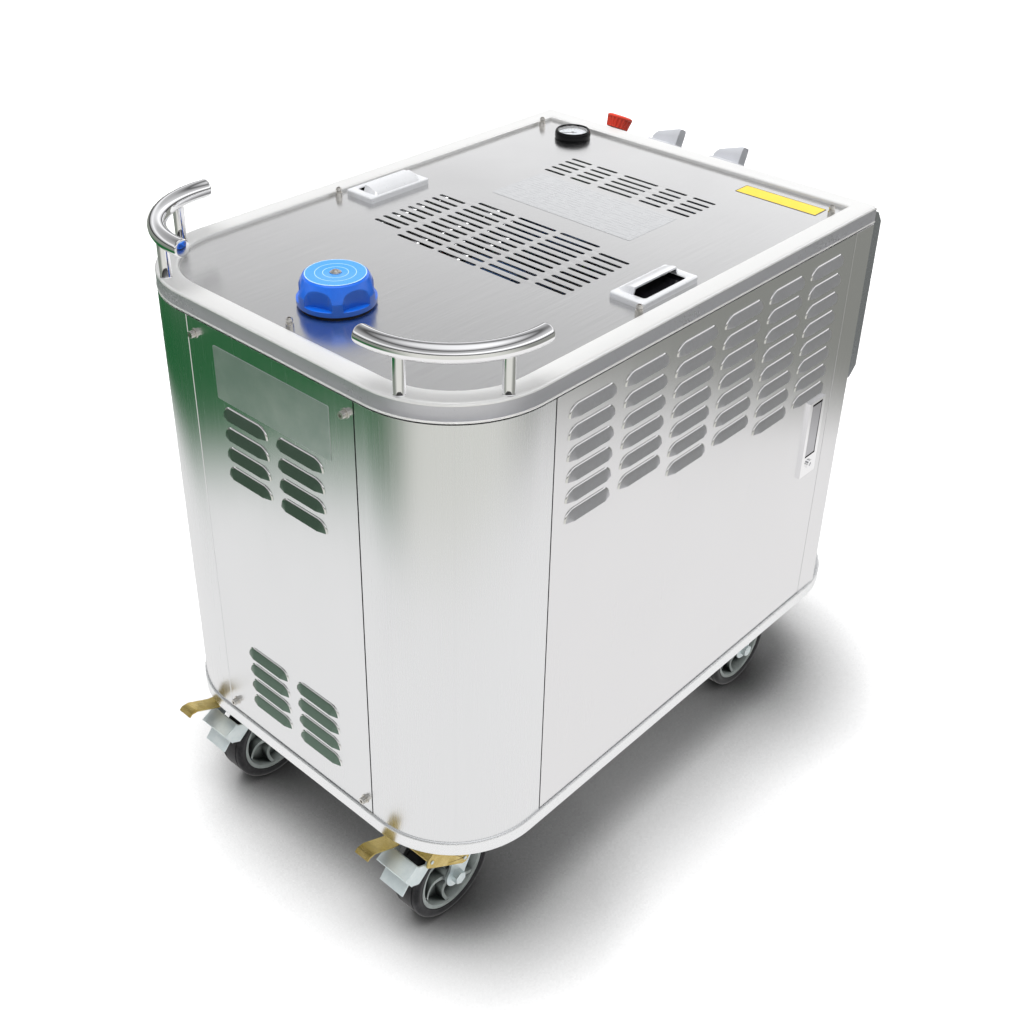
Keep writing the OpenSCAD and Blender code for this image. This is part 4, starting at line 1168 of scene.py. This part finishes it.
# ---------- casters
def make_wheel(end, side):
    lo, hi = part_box(f"{end}_tyre_{side}")
    centre = (lo + hi) / 2
    R, W = (hi.z - lo.z) / 2, hi.x - lo.x
    axes = Matrix(((0, 0, 1), (1, 0, 0), (0, 1, 0)))
    body = f"{end}_wheel_{side}"
    bm = bmesh.new()
    half = []
    tread = ((0.0, 0.0), (0.0135, 0.0), (0.0142, 0.0014), (0.0158, 0.0014), (0.0165, 0.0), (0.0195, 0.0003))
    for x, d in tread:
        half.append((R - d, x))
    for i in range(1, 8):
        a = math.pi / 2 * i / 7
        half.append((R - 0.0060 * (1 - math.cos(a)) - 0.0003, 0.0195 + (W / 2 - 0.0195) * math.sin(a)))
    half += [(R - 0.010, W / 2), (R - 0.0112, W / 2 - 0.0008), (R - 0.0150, W / 2 - 0.0008)]
    profile = [(r, -x) for r, x in reversed(half[1:])] + half
    lathe(bm, profile, centre, axes, 128)
    finish_piece(f"tyre_{end}_{side}", bm, [tyre_rubber], body, [f"{end}_tyre_{side}"], sharp=40)

    bm = bmesh.new()
    rim = R - 0.0150
    w = W / 2 - 0.002
    ring = [(rim, w), (rim - 0.0015, w + 0.0006), (rim - 0.0065, w - 0.0006), (rim - 0.0085, w - 0.004)]
    ring.append((rim - 0.0095, 0.004))
    ring = [(rim, -w)] + ring + [(r, -x) for r, x in reversed(ring[1:])]
    lathe(bm, ring, centre, axes, 96, loop=True)
    boss = [(0.0062, -0.0260), (0.0150, -0.0260), (0.0165, -0.0245), (0.0178, -0.018)]
    boss += [(0.0185, 0.0)] + [(r, -x) for r, x in reversed(boss)]
    lathe(bm, boss, centre, axes, 48, loop=True)
    web = [(0.017, -0.0035), (rim - 0.009, -0.0035), (rim - 0.009, 0.0035), (0.017, 0.0035)]
    lathe(bm, web, centre, axes, 96, loop=True)
    for k in range(6):
        rings_ = []
        for t in range(9):
            u = t / 8
            r = 0.0165 + (rim - 0.0085 - 0.0165) * u
            a = math.radians(60 * k + 20 * u * u)
            thick = 0.0030 + 0.0008 * abs(2 * u - 1)
            deep = w - 0.0015 - 0.004 * math.sin(math.pi * u)
            radial = Vector((0, math.cos(a), math.sin(a)))
            across = Vector((0, -math.sin(a), math.cos(a)))
            rings_.append([
                centre + radial * r + across * (thick * sy) + Vector((deep * sx, 0, 0))
                for sx, sy in ((-1, -1), (1, -1), (1, 1), (-1, 1))
            ])
        loft(bm, rings_)
    finish_piece(f"hub_{end}_{side}", bm, [hub_plastic], body, [f"{end}_hub_{side}"], bevel=0.5,
                 sharp=40)


def make_casters():
    for side in ("left", "right"):
        for end in ("front", "rear"):
            make_wheel(end, side)
        dress(f"front_fork_{side}", bright_zinc, 0.8)
        dress(f"lock_lever_{side}", gold_zinc, 0.6)
        dress(f"release_pedal_{side}", bright_zinc, 0.6)
    dress("rear_forks", bright_zinc, 0.8)
    dress("caster_plates", bright_zinc, 0.7)


# ---------- inside and fittings
def make_inside():
    dress("frame_posts", frame_paint, 0.8)
    dress("hinge_pins", satin_metal, 0.4)
    dress("water_tank", pale_poly, 5.0, 3)
    dress("boiler_shell", boiler_paint, 1.5)
    dress("burner_housing", motor_paint, 1.5)
    dress("burner_fan", satin_metal, 0.3)
    dress("fuel_tank", dark_poly, 5.0, 3)
    dress("fuel_cap", fuel_red, 1.5)
    dress("pump_set", motor_paint, 1.5)
    dress("drive_coupling", brass, 0.8)
    dress("electrical_box", box_paint, 2.0)
    dress("outlet_fittings", brass, 0.8)
    dress("latch_case", chrome, 1.2, 3)
    # The latch lever takes the darker chrome copy: painted reflection.
    dress("latch_lever", chrome_painted_dark, 1.0, 3)
    dress("latch_button", chrome, 0.6)
    dress("latch_bolt", satin_metal, 0.4)


make_front_panel()
make_sides()
make_corner_panels()
make_rear()
make_rim()
make_tray()
make_cover()
make_rails()
make_cap()
make_gauge()
make_handles()
make_plates()
make_controls()
make_casters()
make_inside()


# ---------- floor, lights and camera
def studio_floor():
    """Pale floor with a painted shadow around the machine. What the steel mirrors changes with distance: a
    darker room and a green area.
    """
    s = Shader((0.93, 0.93, 0.93), 0.0, 0.9)
    s.put("Specular IOR Level", 0.1)
    x, y, _ = s.xyz(s.coords)
    r = s.distance(x, y)
    far = s.span(r, 0.0, 1.0, 1.40, 1.75)
    toward = s.math("DIVIDE", s.math("ADD", s.times(x, -0.80), s.times(y, -0.60)), r)
    green = s.times(s.span(toward, 0.0, 1.0, 0.42, 0.86), s.span(r, 1.0, 0.15, 2.3, 3.4))
    ahead = s.math("DIVIDE", s.math("ADD", s.times(x, 0.70), s.times(y, -0.71)), r)
    pale = s.span(ahead, 0.0, 1.0, 0.50, 0.88)
    room = s.mix(green, s.mix(pale, (0.28, 0.285, 0.262), (0.76, 0.76, 0.71)), (0.010, 0.120, 0.032))
    seen = s.mix(far, (0.95, 0.94, 0.935), room)
    ray = s.node("LightPath").outputs["Is Glossy Ray"]
    grain = s.noise(3)
    plain = s.mix(grain, (0.92, 0.92, 0.92), (0.94, 0.94, 0.94))
    # Painted shadow: the floor is darkened to near black where ambient occlusion finds the machine close by.
    clear_of_painted_shadow = s.math("POWER", s.recess(0.30, 0.0, 1.0, (-0.22, -0.45, 1.0)), 2.4)
    plain = s.mix(clear_of_painted_shadow, (0.03, 0.03, 0.03), plain)
    # Painted reflection: to glossy rays the floor is black and glows with the colour the steel should mirror,
    # free of the painted shadow.
    s.color(s.mix(ray, plain, (0.0, 0.0, 0.0)))
    s.link(seen, s.bsdf.inputs["Emission Color"])
    s.link(ray, s.bsdf.inputs["Emission Strength"])
    s.rough(s.span(grain, 0.85, 0.95))
    return s.mat


bpy.ops.mesh.primitive_plane_add(size=60, location=(0, 0, 0))
floor = bpy.context.object
floor.name = "studio_floor"
floor.data.materials.append(mat(studio_floor))

def studio_world():
    """White to the camera, a soft sky for the light, and a banded room that the steel mirrors."""
    world = bpy.data.worlds.new("studio")
    bpy.context.scene.world = world
    world.use_nodes = True
    g = Graph(world.node_tree)
    way = g.node("TexCoord").outputs["Generated"]
    height = g.xyz(way)[2]
    bands = ((0.09, 0.14), (0.20, 0.85), (0.31, 1.25), (0.36, 0.98), (0.44, 0.58), (0.62, 0.42), (0.76, 0.10))
    stops = [(position, grey, grey * 1.01) for position, grey in bands + ((0.95, 1.0),)]
    mirrored = g.ramp(height, [(0.0, 0.05, 0.05)] + stops)
    sky = g.ramp(height, [(0.0, 0.02, 0.02), (0.32, 0.05, 0.05), (0.60, 0.46, 0.46), (1.0, 1.0, 1.01)])
    # The room is brighter on the side that the door faces
    across = g.node("VectorMath", operation="DOT_PRODUCT")
    across.inputs[1].default_value = (0.743, 0.669, 0.0)
    g.link(way, across.inputs[0])
    room = g.node("VectorMath", operation="SCALE")
    g.link(mirrored, room.inputs[0])
    g.link(g.span(across.outputs["Value"], 0.82, 1.18, -0.35, 0.35), room.inputs["Scale"])
    path = g.node("LightPath").outputs
    lit = g.mix(path["Is Glossy Ray"], sky, room.outputs["Vector"])
    background = g.tree.nodes["Background"]
    g.link(g.mix(path["Is Camera Ray"], lit, (1.0, 1.0, 1.0)), background.inputs["Color"])
    background.inputs["Strength"].default_value = 1.0


def area_light(name, location, target, size, energy, color=(1, 1, 1)):
    light = bpy.data.lights.new(name, "AREA")
    light.shape = "DISK"
    light.size = size
    light.energy = energy
    light.color = color
    obj = bpy.data.objects.new(name, light)
    obj.location = location
    obj.visible_glossy = False
    obj.rotation_euler = (Vector(target) - Vector(location)).to_track_quat("-Z", "Y").to_euler()
    bpy.context.scene.collection.objects.link(obj)


studio_world()
sun = bpy.data.lights.new("sun", "SUN")
sun.energy = 3.3
sun.angle = math.radians(44)
sun_at = bpy.data.objects.new("sun", sun)
sun_at.rotation_euler = Vector((0.09, 0.08, -1.0)).to_track_quat("-Z", "Y").to_euler()
sun_at.visible_glossy = False
bpy.context.scene.collection.objects.link(sun_at)
area_light("fill", (2.6, -1.6, 2.8), (0, 0, 0.5), 2.4, 12)

# Camera: its heading, pitch, roll, place and lens
camera_data = bpy.data.cameras.new("camera")
camera = bpy.data.objects.new("camera", camera_data)
bpy.context.scene.collection.objects.link(camera)
heading, pitch, roll = math.radians(42.2), math.radians(-31.6), math.radians(1.03)
camera.location = (1.2127, -1.4249, 1.7226)
look = Vector((-math.sin(heading) * math.cos(pitch), math.cos(heading) * math.cos(pitch), math.sin(pitch)))
camera.rotation_mode = "QUATERNION"
camera.rotation_quaternion = look.to_track_quat("-Z", "Y") @ Matrix.Rotation(roll, 4, "Z").to_quaternion()
camera_data.lens = 46.84
camera_data.sensor_width = 36
camera_data.shift_x = 0.0123
camera_data.shift_y = -0.0754
camera_data.clip_start, camera_data.clip_end = 0.05, 100
bpy.context.scene.camera = camera
bpy.context.scene.view_settings.view_transform = "Standard"
